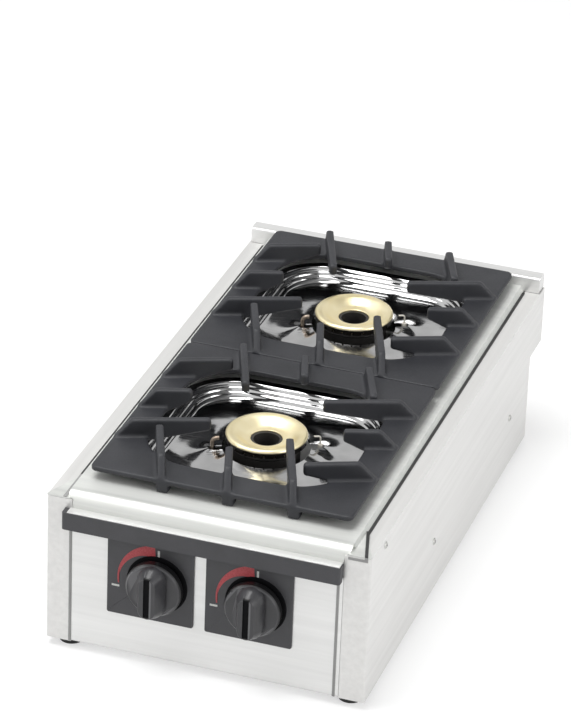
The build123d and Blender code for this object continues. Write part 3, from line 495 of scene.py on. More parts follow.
red_ink = print_ink("red_ink", (0.40, 0.045, 0.055), (0.52, 0.085, 0.095))
white_ink = print_ink("white_ink", (0.62, 0.63, 0.60), (0.76, 0.77, 0.74))
inner_arc = []
outer_arc = []
for step in range(arc_steps + 1):
    share = step / arc_steps
    angle = arc_start + (arc_stop - arc_start) * share
    far = arc_outer_start + (arc_outer_stop - arc_outer_start) * share
    near = far - arc_thin - (arc_thick - arc_thin) * share ** arc_swell
    inner_arc.append((near * cos(angle), near * sin(angle)))
    outer_arc.append((far * cos(angle), far * sin(angle)))
dash_x = dash_reach * cos(dash_angle)
dash_z = dash_reach * sin(dash_angle)
dash = oblong(
    dash_x - dash_half_length, dash_x + dash_half_length,
    dash_z - mark_half_width, dash_z + mark_half_width,
)
tick = oblong(
    tick_shift - mark_half_width, tick_shift + mark_half_width,
    tick_reach - tick_half_length, tick_reach + tick_half_length,
)
for side in ("left", "right"):
    printed_mark(side, "_heat_arc", inner_arc + outer_arc[::-1], red_ink)
    printed_mark(side, "_low_dash", dash, white_ink)
    printed_mark(side, "_top_tick", tick, white_ink)


# Behind the panel the gas runs through a plain steel pipe into die-cast valves with turned brass plugs,
# injectors and inlet. A moulded ignition unit is clamped to each valve.
def turned_metal(name, dark, light, rough, pitch=900.0):
    """Machined or cast metal with fine tool marks and slight stains."""
    return patchy_finish(name, dark, light, rough, (-0.06, 0.08), (40.0, 4.0), pitch, 0.00003, metallic=1.0)


def moulded_plastic(name, dark, light, rough, grain=1800.0):
    """Moulded plastic with a fine spark-eroded texture."""
    return patchy_finish(name, dark, light, rough, (-0.05, 0.07), (60.0, 3.0), grain, 0.00004)


brass = turned_metal("turned_brass", (0.66, 0.46, 0.20), (0.80, 0.60, 0.30), 0.34)
pipe_steel = turned_metal("pipe_steel", (0.42, 0.41, 0.39), (0.55, 0.54, 0.52), 0.42)
die_cast = turned_metal("die_cast_metal", (0.52, 0.53, 0.54), (0.64, 0.65, 0.66), 0.46, 500.0)
plated_steel = turned_metal("plated_steel", (0.52, 0.52, 0.50), (0.66, 0.66, 0.63), 0.34)
igniter_plastic = moulded_plastic("igniter_plastic", (0.62, 0.60, 0.54), (0.70, 0.68, 0.62), 0.5)
coat("gas_manifold", pipe_steel)
coat("gas_inlet", brass)
for side in ("left", "right"):
    for part, finish in (
        ("_valve_body", die_cast),
        ("_valve_bonnet", die_cast),
        ("_valve_plug", brass),
        ("_injector", brass),
        ("_igniter_unit", igniter_plastic),
        ("_stem", plated_steel),
    ):
        coat(side + part, finish)


# The knobs are moulded in black plastic with a fine matt grain, soft edges and a wide pointer groove. Their
# edges are painted paler as a highlight, the groove and the skirt's rim are painted dead black as shade, a
# near-black strip in the groove paints its shadow, and a flat black disc on each plate paints the knob's
# shadow.
knob_edge = 0.0006
skirt_from = 0.0249
skirt_fade = 0.0004
groove_width = 0.0056
groove_depth = 0.0016
groove_overcut = 0.0010
groove_over_end = 0.0020
black_from_face = (0.0002, 0.0004)  # the depths at which the black starts and is full
black_margin_deep = (0.0010, 0.0014)  # how far past the groove it starts to fade, and has gone
black_margin_sides = (0.0004, 0.0007)
# Painted shade: the dead black laid in the knob's groove and round its skirt.
painted_shade_black = (0.0025, 0.0025, 0.003)
# Painted highlight: the paler grey laid on the knob's sharp edges.
highlight_grey = (0.24, 0.24, 0.25)
highlight_share = 0.5
highlight_curve = (0.54, 0.62)
face_depth = 0.0001
# A near-black strip in the groove paints its shadow.
groove_shade_depth = 0.0008
groove_shade_side_gap = 0.0001
groove_shade_bury = 0.0002
groove_shade_low_gap = 0.0003
groove_shade_top_gap = 0.0002
groove_shade_top_over = 0.0004
# The flat black disc behind each knob paints the knob's shadow on the plate.
shadow_disc_hole = 0.0080
shadow_disc_radius = 0.0284
shadow_disc_thick = 0.0006
shadow_disc_chamfer_in = 0.0003
shadow_disc_chamfer_down = 0.0002
shadow_disc_seat = 0.00005
shadow_disc_steps = 96
shadow_disc_crease = radians(30)


def maths(finish, kind, first, second=None):
    """One step of arithmetic on one or two values."""
    tree = finish.node_tree
    step = tree.nodes.new("ShaderNodeMath")
    step.operation = kind
    tree.links.new(first, step.inputs[0])
    if second is not None:
        tree.links.new(second, step.inputs[1])
    return step.outputs["Value"]


def paint_over(finish, share, colour):
    """Lays a colour over the finish's own, as far as the share says."""
    tree = finish.node_tree
    own = tree.nodes["Principled BSDF"].inputs["Base Color"].links[0].from_socket
    blend = tree.nodes.new("ShaderNodeMix")
    blend.data_type = "RGBA"
    blend.inputs["B"].default_value = (*colour, 1)
    tree.links.new(own, blend.inputs["A"])
    tree.links.new(share, blend.inputs["Factor"])
    feed(finish, "Base Color", blend.outputs["Result"])


def knob_finish(side):
    """Black plastic, painted dead black as shade in the groove and round the skirt, and paler on the edges
    as a painted highlight.
    """
    finish = moulded_plastic(side + "_knob_plastic", (0.034, 0.034, 0.037), (0.048, 0.048, 0.052), 0.33)
    low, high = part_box(side + "_knob")
    to_axis = (-(low.x + high.x) / 2, -low.y, -(low.z + high.z) / 2)
    sideways, inward, upward = axes_of(finish, object_pattern(finish, offset=to_axis))
    across = maths(finish, "ABSOLUTE", sideways)
    squared = maths(
        finish, "ADD",
        maths(finish, "MULTIPLY", across, across), maths(finish, "MULTIPLY", upward, upward),
    )
    # Painted shade masks: the skirt's rim and the groove.
    skirt = spread(finish, maths(finish, "SQRT", squared), 0, 1, skirt_from, skirt_from + skirt_fade)
    in_width = spread(finish, across, 1, 0, *[groove_width / 2 + margin for margin in black_margin_sides])
    under_face = spread(finish, inward, 0, 1, *black_from_face)
    above_dial = spread(finish, inward, 1, 0, *[groove_depth + margin for margin in black_margin_deep])
    groove = maths(finish, "MULTIPLY", maths(finish, "MULTIPLY", in_width, under_face), above_dial)
    shape = finish.node_tree.nodes.new("ShaderNodeNewGeometry")
    # Painted highlight: paler grey on the sharp edges.
    paint_over(finish, spread(finish, shape.outputs["Pointiness"], 0, highlight_share, *highlight_curve), highlight_grey)
    # Painted shade: dead black over the skirt and groove masks.
    paint_over(finish, maths(finish, "MAXIMUM", skirt, groove), painted_shade_black)
    return finish


def turned_form(section, steps, centre, axis, sideways, upward):
    """A closed section of radius and height, turned about an axis through the centre."""
    form = bmesh.new()
    rows = []
    for step in range(steps):
        angle = tau * step / steps
        outward = sideways * cos(angle) + upward * sin(angle)
        rows.append([form.verts.new(centre + outward * reach + axis * height) for reach, height in section])
    for row, following in zip(rows, rows[1:] + rows[:1]):
        for point in range(len(section)):
            after = (point + 1) % len(section)
            form.faces.new((row[point], row[after], following[after], following[point]))
    return form


def knob_shadow_piece(side, finish):
    """The flat black disc on a control plate, behind the knob: the knob's painted shadow."""
    low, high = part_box(side + "_knob")
    plate_low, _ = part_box(side + "_control_plate")
    centre = Vector(((low.x + high.x) / 2, plate_low.y + shadow_disc_seat, (low.z + high.z) / 2))
    section = (
        (shadow_disc_hole, 0.0),
        (shadow_disc_radius, 0.0),
        (shadow_disc_radius, shadow_disc_thick - shadow_disc_chamfer_down),
        (shadow_disc_radius - shadow_disc_chamfer_in, shadow_disc_thick),
        (shadow_disc_hole, shadow_disc_thick),
    )
    form = turned_form(
        section, shadow_disc_steps, centre, Vector((0, -1, 0)), Vector((1, 0, 0)), Vector((0, 0, 1)),
    )
    bmesh.ops.recalc_face_normals(form, faces=form.faces)
    ring = piece_from(form, side + "_knob_shadow_disc")
    smooth(ring, shadow_disc_crease)
    fasten(ring, side + "_control_plate", finish)


# Painted shadow: a near-black, almost unreflecting finish for the disc behind each knob and the strip in its
# groove.
knob_shadow_finish = moulded_plastic("knob_shadow_finish", (0.002, 0.002, 0.0025), (0.004, 0.004, 0.005), 0.75)
knob_shadow_finish.node_tree.nodes["Principled BSDF"].inputs["Specular IOR Level"].default_value = 0.1
for side in ("left", "right"):
    knob = merged_copy(side + "_knob", side + "_knob_moulded")
    low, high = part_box(side + "_knob")
    middle = (low.x + high.x) / 2
    cut_low = (middle - groove_width / 2, low.y - groove_overcut, low.z - groove_over_end)
    cut_high = (middle + groove_width / 2, low.y + groove_depth, high.z + groove_over_end)
    form = bmesh.new()
    for vert in bmesh.ops.create_cube(form, size=1.0)["verts"]:
        vert.co = [far if place > 0 else near for place, near, far in zip(vert.co, cut_low, cut_high)]
    cutter = piece_from(form, "groove_cutter")
    groove = knob.modifiers.new("groove", "BOOLEAN")
    groove.operation = "DIFFERENCE"
    groove.solver = "EXACT"
    groove.object = cutter
    settle(knob)
    bpy.data.objects.remove(cutter)
    face_levels = [vert.co.z for vert in knob.data.vertices if vert.co.y < low.y + face_depth]
    soften_edges(knob, knob_edge, 3)
    stand_in(knob, side + "_knob", knob_finish(side))
    # Painted shadow of the knob on its plate.
    knob_shadow_piece(side, knob_shadow_finish)
    # A near-black strip in the groove paints its shadow.
    half = groove_width / 2 - groove_shade_side_gap
    front = low.y + groove_shade_depth
    back = low.y + groove_depth + groove_shade_bury
    bottom = min(face_levels) + groove_shade_low_gap
    top = max(face_levels)
    section = ((front, bottom), (back, bottom), (back, top + groove_shade_top_over), (front, top - groove_shade_top_gap))
    form = bmesh.new()
    closed_prism(form, *[[(x, y, z) for y, z in section] for x in (middle - half, middle + half)])
    bmesh.ops.recalc_face_normals(form, faces=form.faces)
    fasten(piece_from(form, side + "_knob_groove_shade"), side + "_knob", knob_shadow_finish)


# The burner bodies are cast iron with a dark heat-proof coat. The rails that carry them, the air shutters
# and the flame probes are steel, and the electrodes are glazed ceramic round a wire.
def cast_iron(name, dark, light, rough, grain, depth):
    """Cast iron under a coat: sandy grain, slow patches and a soft shine."""
    finish, _ = new_finish(name, roughness=rough)
    pattern = object_pattern(finish)
    sand = noise(finish, pattern, grain, 3.0, 0.6)
    lumps = noise(finish, pattern, grain / 6, 3.0)
    feed(finish, "Base Color", tint(finish, noise(finish, pattern, 24.0, 4.0), dark, light))
    feed(finish, "Roughness", spread(finish, sand, rough - 0.08, rough + 0.10))
    feed(finish, "Normal", relief(finish, sand, depth, 0.6, relief(finish, lumps, depth * 2, 0.5)))
    return finish


burner_iron = cast_iron("burner_iron", (0.016, 0.015, 0.014), (0.032, 0.030, 0.028), 0.55, 700.0, 0.00012)
probe_steel = turned_metal("heat_tinted_steel", (0.26, 0.20, 0.15), (0.42, 0.36, 0.30), 0.38)
ceramic, _ = new_finish("glazed_ceramic", roughness=0.16)
glaze = noise(ceramic, object_pattern(ceramic), 120.0, 3.0)
feed(ceramic, "Base Color", tint(ceramic, glaze, (0.72, 0.68, 0.60), (0.82, 0.79, 0.72)))
for place in ("front", "rear"):
    for part, finish in (
        ("_burner_rail", plated_steel),
        ("_air_shutter", plated_steel),
        ("_flame_probe", probe_steel),
        ("_electrode", ceramic),
        ("_burner_body", burner_iron),
    ):
        coat(place + part, finish)


# The burner rings are pale cast brass, machined on top, and lie loose on the bodies. The foot has teeth with
# the flame ports between them, the ported side is coloured black below the crest, and from a round crest the
# top dips to a low hub.
ring_steps = 160
ring_outer = 0.0375
ring_hole = 0.0146
ring_height = 0.0080
ring_foot = 0.0045
ring_crease = radians(40)
foot_gap = 0.0002
side_set = 0.0004
crest_round = 0.0028
crest_land = 0.0010
crest_run = 0.0160
crest_steps = 8
land_fall = 0.0001
hub_height = 0.0014
hub_chamfer = 0.0004
port_count = 24
port_width = 0.0018
port_height = 0.0026
tooth_set = 0.0005
tooth_lift = 0.0001
# Black on the ported side, below the crest.
side_black = (0.020, 0.018, 0.016)
side_black_from = 0.0020
side_black_fade = 0.0012
side_black_inner = 0.0034
side_black_outer = 0.0018


def brass_black_below(place):
    """Pale brass, black round the ported side of one ring below the crest."""
    finish = turned_metal(place + "_pale_brass", (0.92, 0.79, 0.46), (0.98, 0.89, 0.62), 0.36, 700.0)
    tree = finish.node_tree
    low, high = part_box(place + "_burner_ring")
    middle = (low + high) / 2
    to_middle = (-middle.x, -middle.y, -high.z)
    sideways, lengthways, height = axes_of(finish, object_pattern(finish, offset=to_middle))
    flat = tree.nodes.new("ShaderNodeCombineXYZ")
    tree.links.new(sideways, flat.inputs["X"])
    tree.links.new(lengthways, flat.inputs["Y"])
    reach = tree.nodes.new("ShaderNodeVectorMath")
    reach.operation = "LENGTH"
    tree.links.new(flat.outputs["Vector"], reach.inputs[0])
    outside = spread(
        finish, reach.outputs["Value"], 0, 1, ring_outer - side_black_inner, ring_outer - side_black_outer,
    )
    below = spread(finish, height, 1, 0, -side_black_from - side_black_fade, -side_black_from)
    # Colours the ported side black below the crest.
    paint_over(finish, maths(finish, "MULTIPLY", outside, below), side_black)
    return finish


def dished_ring(place):
    """A burner ring: ported foot, upright side, round crest and a top that dips towards the hole."""
    low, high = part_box(place + "_burner_ring")
    middle = (low + high) / 2
    foot = Vector((middle.x, middle.y, high.z - ring_height))
    crest = ring_outer - crest_round
    land = ring_height - land_fall
    # From the bottom inside round to the top inside.
    section = [
        (ring_hole, foot_gap),
        (ring_outer - ring_foot, foot_gap),
        (ring_outer - ring_foot, port_height),
        (ring_outer - side_set, port_height),
    ]
    for step in range(crest_steps + 1):
        turn = pi / 2 * step / crest_steps
        rise = ring_height - crest_round + crest_round * sin(turn)
        section.append((crest + crest_round * cos(turn), rise))
    section.append((crest - crest_land, land))
    for step in range(1, crest_steps + 1):
        share = step / crest_steps
        dip = share * share * (3 - 2 * share)
        section.append((crest - crest_land - crest_run * share, land - (land - hub_height) * dip))
    section.append((ring_hole + hub_chamfer, hub_height))
    section.append((ring_hole, hub_height - hub_chamfer))
    form = turned_form(
        section, ring_steps, foot, Vector((0, 0, 1)), Vector((1, 0, 0)), Vector((0, 1, 0)),
    )
    # The foot's teeth between the flame ports.
    tooth_width = tau * ring_outer / port_count - port_width
    for tooth in range(port_count):
        angle = tau * (tooth + 0.5) / port_count
        outward = Vector((cos(angle), sin(angle), 0))
        across = Vector((-sin(angle), cos(angle), 0))
        root = (
            foot + Vector((0, 0, port_height / 2 + tooth_lift))
            + outward * (ring_outer - ring_foot / 2 - tooth_set)
        )
        for vert in bmesh.ops.create_cube(form, size=1.0)["verts"]:
            corner = vert.co.copy()
            upright = Vector((0, 0, corner.z * (port_height + foot_gap)))
            vert.co = root + outward * (corner.x * ring_foot) + across * (corner.y * tooth_width) + upright
    bmesh.ops.recalc_face_normals(form, faces=form.faces)
    ring = piece_from(form, place + "_burner_ring_cast")
    smooth(ring, ring_crease)
    return ring


for place in ("front", "rear"):
    stand_in(dished_ring(place), place + "_burner_ring", brass_black_below(place))


# The drip pans are pressed from thin polished stainless: a flat rim, a deep dish with rounded corners and
# faint press rings on its wall, and a floor that rises to the burner, notched for electrode and probe.
pan_steps = 240
pan_half = 0.102
pan_sheet = 0.0008
pan_rim = 0.006
pan_slope = 0.0109
pan_corner = 0.056
pan_corner_least = 0.006
pan_crease = radians(50)
wall_lean = radians(50)
wall_steps = 24
wall_waves = 3
wall_wave = 0.00022
rim_fold = 0.0020
floor_fold = 0.0045
fold_steps = 4
hole_radius = 0.0395
post_radius = 0.049
post_turn = radians(24)
notch_radius = 0.0034
collar_steps = 12
collar_height = 0.0045
collar_gap = 0.0008
collar_sweep = 2.2
flare_run = 0.0260


def polished_stainless(name):
    """Mirror-like stainless with faint press lines and wiping marks."""
    finish, _ = new_finish(name, metallic=1.0, roughness=0.08)
    waves = noise(finish, object_pattern(finish), 38.0, 2.0)
    wipes = noise(finish, object_pattern(finish, (60, 420, 60)), 1.0, 3.0)
    feed(finish, "Base Color", tint(finish, waves, (0.45, 0.45, 0.45), (0.59, 0.59, 0.59)))
    feed(finish, "Roughness", spread(finish, wipes, 0.05, 0.14))
    feed(finish, "Normal", relief(finish, waves, 0.0006, 0.30))
    return finish


def rounded_square_point(angle, half, corner):
    """The point of a rounded square's outline in that direction from its middle."""
    across = Vector((cos(angle), sin(angle)))
    point = across * (half / max(abs(across.x), abs(across.y)))
    inner = half - corner
    if abs(point.x) > inner and abs(point.y) > inner:
        middle = Vector((inner if point.x > 0 else -inner, inner if point.y > 0 else -inner))
        along = across.dot(middle)
        point = across * (along + (along * along - middle.length_squared + corner * corner) ** 0.5)
    return point


def hole_reach(angle, widen):
    """How far the floor's hole reaches in that direction, the notches counted."""
    reach = hole_radius + widen
    notch = notch_radius + widen
    for post_angle in (post_turn, pi + post_turn):
        off = abs((angle - post_angle + pi) % tau - pi)
        if off < pi / 2 and post_radius * sin(off) < notch:
            beyond = (notch ** 2 - (post_radius * sin(off)) ** 2) ** 0.5
            reach = max(reach, post_radius * cos(off) + beyond)
    return reach


def dish_profile(rim_level, floor_level):
    """From the rim in to the dish's floor: how far in from the rim's edge, and the height."""
    dish = [(0.0, rim_level), (pan_rim * 0.5, rim_level)]
    for step in range(fold_steps + 1):
        turn = wall_lean * step / fold_steps
        dish.append((pan_rim + rim_fold * sin(turn), rim_level - rim_fold * (1 - cos(turn))))
    top_in, top_level = dish[-1]
    foot_in, foot_level = pan_rim + pan_slope, floor_level + floor_fold * (1 - cos(wall_lean))
    for step in range(1, wall_steps):
        share = step / wall_steps
        swell = wall_wave * sin(pi * share) * sin(tau * wall_waves * share)
        dish.append((
            top_in + (foot_in - top_in) * share + swell * sin(wall_lean),
            top_level + (foot_level - top_level) * share + swell * cos(wall_lean),
        ))
    for step in range(fold_steps + 1):
        turn = wall_lean * (1 - step / fold_steps)
        dish.append((
            foot_in + floor_fold * (sin(wall_lean) - sin(turn)),
            floor_level + floor_fold * (1 - cos(turn)),
        ))
    return dish


def collar_profile():
    """From the floor in to the collar's lip: share of the way, distance outside the hole, height."""
    collar = [(0.5, flare_run, 0.0)]
    for step in range(collar_steps + 1):
        widen = flare_run + (collar_gap - flare_run) * step / collar_steps
        collar.append((1.0, widen, collar_height * (1 - widen / flare_run) ** collar_sweep))
    return collar


def pressed_pan(place):
    """A drip pan: rows of points round the dish and the collar, joined and given the sheet's thickness."""
    low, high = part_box(place + "_drip_pan")
    centre = (low + high) / 2
    floor_level = low.z + pan_sheet
    angles = [tau * step / pan_steps for step in range(pan_steps)]
    outlines = []
    for inward, level in dish_profile(high.z, floor_level):
        corner = max(pan_corner - inward, pan_corner_least)
        outline = [rounded_square_point(angle, pan_half - inward, corner) for angle in angles]
        outlines.append((outline, level))
    floor_edge, _ = outlines[-1]
    for share, widen, lift in collar_profile():
        outline = [
            start.lerp(Vector((cos(angle), sin(angle))) * hole_reach(angle, widen), share)
            for angle, start in zip(angles, floor_edge)
        ]
        outlines.append((outline, floor_level + lift))
    form = bmesh.new()
    rows = [
        [form.verts.new((centre.x + point.x, centre.y + point.y, level)) for point in outline]
        for outline, level in outlines
    ]
    for upper, lower in zip(rows, rows[1:]):
        for step in range(pan_steps):
            after = (step + 1) % pan_steps
            form.faces.new((upper[step], upper[after], lower[after], lower[step]))
    bmesh.ops.recalc_face_normals(form, faces=form.faces)
    if sum(face.normal.z for face in form.faces) < 0:
        bmesh.ops.reverse_faces(form, faces=form.faces)
    pan = piece_from(form, place + "_drip_pan_pressed")
    sheet = pan.modifiers.new("sheet", "SOLIDIFY")
    sheet.thickness = pan_sheet
    sheet.offset = -1
    settle(pan)
    smooth(pan, pan_crease)
    return pan


polished = polished_stainless("polished_pan")
for place in ("front", "rear"):
    stand_in(pressed_pan(place), place + "_drip_pan", polished)


# The grates are iron castings under satin charcoal enamel. The mould leaves every edge round and the
# faces faintly sandy.
mould_grain = 0.0013
kept_faces = 0.45
grate_enamel = cast_iron("grate_enamel", (0.016, 0.017, 0.021), (0.028, 0.029, 0.034), 0.52, 900.0, 0.00010)
for place in ("front", "rear"):
    grate = merged_copy(place + "_grate", place + "_grate_cast")
    grains = grate.modifiers.new("mould", "REMESH")
    grains.mode = "VOXEL"
    grains.voxel_size = mould_grain
    settle(grate)
    rounding = grate.modifiers.new("rounding", "SMOOTH")
    rounding.factor = 0.5
    rounding.iterations = 4
    thinner = grate.modifiers.new("thinner", "DECIMATE")
    thinner.ratio = kept_faces
    settle(grate)
    grate.data.shade_smooth()
    stand_in(grate, place + "_grate", grate_enamel)


# Four low feet of black rubber stand under the housing, near its corners. They are moulded, with a fine
# matt grain.
rubber = moulded_plastic("foot_rubber", (0.012, 0.012, 0.012), (0.022, 0.022, 0.022), 0.7, 1200.0)
coat("feet", rubber)


# Ten steel screws hold the sides and the lower back wall. Their domed heads have a cross recess, turned a
# little differently on each, and one node tree sets them where the solids have them.
screw_sizes = {
    "Head radius": 0.0035,
    "Head height": 0.0015,
    "Recess width": 0.0009,
    "Recess length": 0.0040,
}
screw_seed = 7
dome_segments = 28
dome_rings = 14
dome_crease = radians(40)


def cross_head_tree(finish):
    """Sets a domed screw head with a cross recess on each point, square to the point's facing."""
    tree = bpy.data.node_groups.new("cross_head_screws", "GeometryNodeTree")
    tree.is_modifier = True
    links = tree.links
    tree.interface.new_socket("Places", in_out="INPUT", socket_type="NodeSocketGeometry")
    for name, size in screw_sizes.items():
        socket = tree.interface.new_socket(name, in_out="INPUT", socket_type="NodeSocketFloat")
        socket.default_value = size
    seed = tree.interface.new_socket("Seed", in_out="INPUT", socket_type="NodeSocketInt")
    seed.default_value = screw_seed
    tree.interface.new_socket("Screws", in_out="OUTPUT", socket_type="NodeSocketGeometry")
    inlet = tree.nodes.new("NodeGroupInput")
    outlet = tree.nodes.new("NodeGroupOutput")

    def vector_of(**sizes):
        """A vector with the named inputs on its axes."""
        vector = tree.nodes.new("ShaderNodeCombineXYZ")
        for axis, name in sizes.items():
            links.new(inlet.outputs[name], vector.inputs[axis])
        return vector.outputs["Vector"]

    ball = tree.nodes.new("GeometryNodeMeshUVSphere")
    ball.inputs["Segments"].default_value = dome_segments
    ball.inputs["Rings"].default_value = dome_rings
    dome = tree.nodes.new("GeometryNodeTransform")
    links.new(ball.outputs["Mesh"], dome.inputs["Geometry"])
    links.new(vector_of(X="Head radius", Y="Head radius", Z="Head height"), dome.inputs["Scale"])

    carve = tree.nodes.new("GeometryNodeMeshBoolean")
    carve.operation = "DIFFERENCE"
    links.new(dome.outputs["Geometry"], carve.inputs["Mesh 1"])
    rise = vector_of(Z="Head height")
    for arm_size in (
        vector_of(X="Recess length", Y="Recess width", Z="Head height"),
        vector_of(X="Recess width", Y="Recess length", Z="Head height"),
    ):
        arm = tree.nodes.new("GeometryNodeMeshCube")
        links.new(arm_size, arm.inputs["Size"])
        lift = tree.nodes.new("GeometryNodeTransform")
        links.new(arm.outputs["Mesh"], lift.inputs["Geometry"])
        links.new(rise, lift.inputs["Translation"])
        links.new(lift.outputs["Geometry"], carve.inputs["Mesh 2"])

    facing = tree.nodes.new("GeometryNodeInputNamedAttribute")
    facing.data_type = "FLOAT_VECTOR"
    facing.inputs["Name"].default_value = "facing"
    square = tree.nodes.new("FunctionNodeAlignRotationToVector")
    square.axis = "Z"
    links.new(facing.outputs["Attribute"], square.inputs["Vector"])
    chance = tree.nodes.new("FunctionNodeRandomValue")
    chance.data_type = "FLOAT"
    chance.inputs["Max"].default_value = tau
    links.new(inlet.outputs["Seed"], chance.inputs["Seed"])
    spin = tree.nodes.new("ShaderNodeCombineXYZ")
    links.new(next(value for value in chance.outputs if value.enabled), spin.inputs["Z"])
    turned = tree.nodes.new("FunctionNodeRotateRotation")
    turned.rotation_space = "LOCAL"
    links.new(square.outputs["Rotation"], turned.inputs["Rotation"])
    links.new(spin.outputs["Vector"], turned.inputs["Rotate By"])
    on_places = tree.nodes.new("GeometryNodeInstanceOnPoints")
    links.new(inlet.outputs["Places"], on_places.inputs["Points"])
    links.new(carve.outputs["Mesh"], on_places.inputs["Instance"])
    links.new(turned.outputs["Rotation"], on_places.inputs["Rotation"])
    whole = tree.nodes.new("GeometryNodeRealizeInstances")
    links.new(on_places.outputs["Instances"], whole.inputs["Geometry"])
    coated = tree.nodes.new("GeometryNodeSetMaterial")
    coated.inputs["Material"].default_value = finish
    links.new(whole.outputs["Geometry"], coated.inputs["Geometry"])
    links.new(coated.outputs["Geometry"], outlet.inputs["Screws"])
    return tree


def screw_places():
    """Where the solids have a screw head on the sheet, and which way it faces."""
    side_low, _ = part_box("left_side_panel")
    _, side_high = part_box("right_side_panel")
    _, back_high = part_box("back_panel")
    form = bmesh.new()
    form.from_mesh(nodes_at_rest["housing_screws"].data)
    bmesh.ops.remove_doubles(form, verts=form.verts, dist=merge_distance)
    places = []
    left = set(form.verts)
    while left:
        reached = [left.pop()]
        for vert in reached:
            for edge in vert.link_edges:
                other = edge.other_vert(vert)
                if other in left:
                    left.remove(other)
                    reached.append(other)
        low = Vector([min(vert.co[axis] for vert in reached) for axis in range(3)])
        high = Vector([max(vert.co[axis] for vert in reached) for axis in range(3)])
        middle = (low + high) / 2
        if high.y - low.y < high.x - low.x:
            outward = Vector((1 if middle.x > 0 else -1, 0, 0))
            surface = side_high.x if middle.x > 0 else side_low.x
            places.append((Vector((surface, middle.y, middle.z)), outward))
        else:
            places.append((Vector((middle.x, back_high.y, middle.z)), Vector((0, 1, 0))))
    form.free()
    return sorted(places, key=lambda place: tuple(round(value, 4) for value in place[0]))


screw_steel = turned_metal("screw_steel", (0.46, 0.46, 0.44), (0.60, 0.60, 0.58), 0.30)
places = screw_places()
mesh = bpy.data.meshes.new("housing_screw_heads")
mesh.from_pydata([place for place, _ in places], [], [])
facing = mesh.attributes.new("facing", "FLOAT_VECTOR", "POINT")
for point, (_, outward) in zip(facing.data, places):
    point.vector = outward
screws = bpy.data.objects.new("housing_screw_heads", mesh)
bpy.context.scene.collection.objects.link(screws)
screws.modifiers.new("heads", "NODES").node_group = cross_head_tree(screw_steel)
settle(screws)
smooth(screws, dome_crease)
stand_in(screws, "housing_screws", screw_steel)


# The object stands on a pale floor that runs up behind it, so that no horizon shows. A soft white studio is
# all round, with three softboxes. Polished steel mirrors the studio, brighter low down than overhead.
floor_half_width = 6.0
floor_front = -6.0
sweep_start = 3.0
sweep_radius = 1.6
sweep_steps = 16
wall_top = 7.0
floor_glow = 0.52
ambient = 0.42
horizon = 1.0
zenith = 0.25
fade_from = sin(radians(48))
fade_to = sin(radians(66))
aim_point = Vector((0.0, 0.0, 0.1))
softboxes = {  # place, size in metres, power in watts
    "key": ((-0.5, -0.3, 2.6), 1.6, 52.0),
    "side": ((-2.2, -1.4, 1.2), 1.2, 14.0),
    "fill": ((2.6, -0.9, 1.3), 1.4, 27.0),
}


def stage_floor():
    """A floor with a curved sweep behind."""
    run = [(floor_front, 0.0), (sweep_start, 0.0)]
    for step in range(1, sweep_steps + 1):
        turn = pi / 2 * step / sweep_steps
        run.append((sweep_start + sweep_radius * sin(turn), sweep_radius * (1 - cos(turn))))
    run.append((sweep_start + sweep_radius, wall_top))
    form = bmesh.new()
    rows = [[form.verts.new((x, y, z)) for x in (-floor_half_width, floor_half_width)] for y, z in run]
    for near, far in zip(rows, rows[1:]):
        form.faces.new((near[0], near[1], far[1], far[0]))
    return piece_from(form, "studio_floor")


def seen_or_mirrored(holder):
    """1 for camera, glossy and transmission rays, 0 for the rest."""
    rays = holder.node_tree.nodes.new("ShaderNodeLightPath")
    level = rays.outputs["Is Camera Ray"]
    for kind in ("Is Glossy Ray", "Is Transmission Ray"):
        level = maths(holder, "MAXIMUM", level, rays.outputs[kind])
    return level


floor = stage_floor()
floor.data.shade_smooth()
floor_finish, floor_shader = new_finish("floor_white", roughness=0.9)
floor_shader.inputs["Base Color"].default_value = (0.55, 0.55, 0.55, 1)
floor_shader.inputs["Specular IOR Level"].default_value = 0.0
floor_shader.inputs["Emission Color"].default_value = (1, 1, 1, 1)
seen = seen_or_mirrored(floor_finish)
feed(floor_finish, "Emission Strength", spread(floor_finish, seen, 0.0, floor_glow, 0.0, 1.0))
floor.data.materials.append(floor_finish)

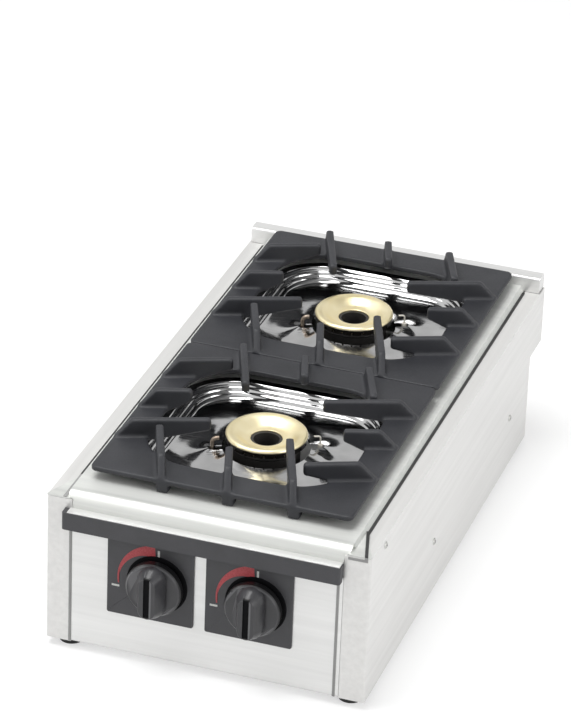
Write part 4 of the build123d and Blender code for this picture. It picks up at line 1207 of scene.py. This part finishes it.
world = bpy.data.worlds.new("studio")
world.use_nodes = True
bpy.context.scene.world = world
sky = world.node_tree
surround = sky.nodes["Background"]
surround.inputs["Color"].default_value = (1, 1, 1, 1)
surround.inputs["Strength"].default_value = ambient
direction = sky.nodes.new("ShaderNodeTexCoord")
_, _, height = axes_of(world, direction.outputs["Generated"])
fade = spread(world, height, horizon, zenith, fade_from, fade_to)
fade.node.interpolation_type = "SMOOTHSTEP"
bright = sky.nodes.new("ShaderNodeBackground")
bright.inputs["Color"].default_value = (1, 1, 1, 1)
sky.links.new(fade, bright.inputs["Strength"])
mix = sky.nodes.new("ShaderNodeMixShader")
sky.links.new(seen_or_mirrored(world), mix.inputs["Fac"])
sky.links.new(surround.outputs["Background"], mix.inputs[1])
sky.links.new(bright.outputs["Background"], mix.inputs[2])
sky.links.new(mix.outputs["Shader"], sky.nodes["World Output"].inputs["Surface"])

for name, (place, size, power) in softboxes.items():
    lamp = bpy.data.lights.new(name, "AREA")
    lamp.size = size
    lamp.energy = power
    holder = bpy.data.objects.new(name, lamp)
    bpy.context.scene.collection.objects.link(holder)
    holder.location = place
    holder.rotation_euler = (aim_point - Vector(place)).to_track_quat("-Z", "Y").to_euler()


# The camera stands at the photograph's viewpoint, in front to the right and above, with a long lens. It is
# turned to the left, tilted down and rolled a little, as the photograph is.
camera_place = Vector((0.96663, -3.09175, 1.90639))
camera_yaw = radians(17.684)
camera_pitch = radians(27.954)
camera_roll = radians(2.234)
forward = Vector((
    -sin(camera_yaw) * cos(camera_pitch),
    cos(camera_yaw) * cos(camera_pitch),
    -sin(camera_pitch),
))
level_right = Vector((cos(camera_yaw), sin(camera_yaw), 0))
level_up = level_right.cross(forward)
right = level_right * cos(camera_roll) + level_up * sin(camera_roll)
up = level_up * cos(camera_roll) - level_right * sin(camera_roll)
camera_data = bpy.data.cameras.new("camera")
camera_data.sensor_width = 36.0
camera_data.lens = 198.89
camera_data.clip_end = 50.0
camera = bpy.data.objects.new("camera", camera_data)
bpy.context.scene.collection.objects.link(camera)
camera.matrix_world = Matrix((
    (right.x, up.x, -forward.x, camera_place.x),
    (right.y, up.y, -forward.y, camera_place.y),
    (right.z, up.z, -forward.z, camera_place.z),
    (0, 0, 0, 1),
))
bpy.context.scene.camera = camera
bpy.context.scene.view_settings.view_transform = "Standard"
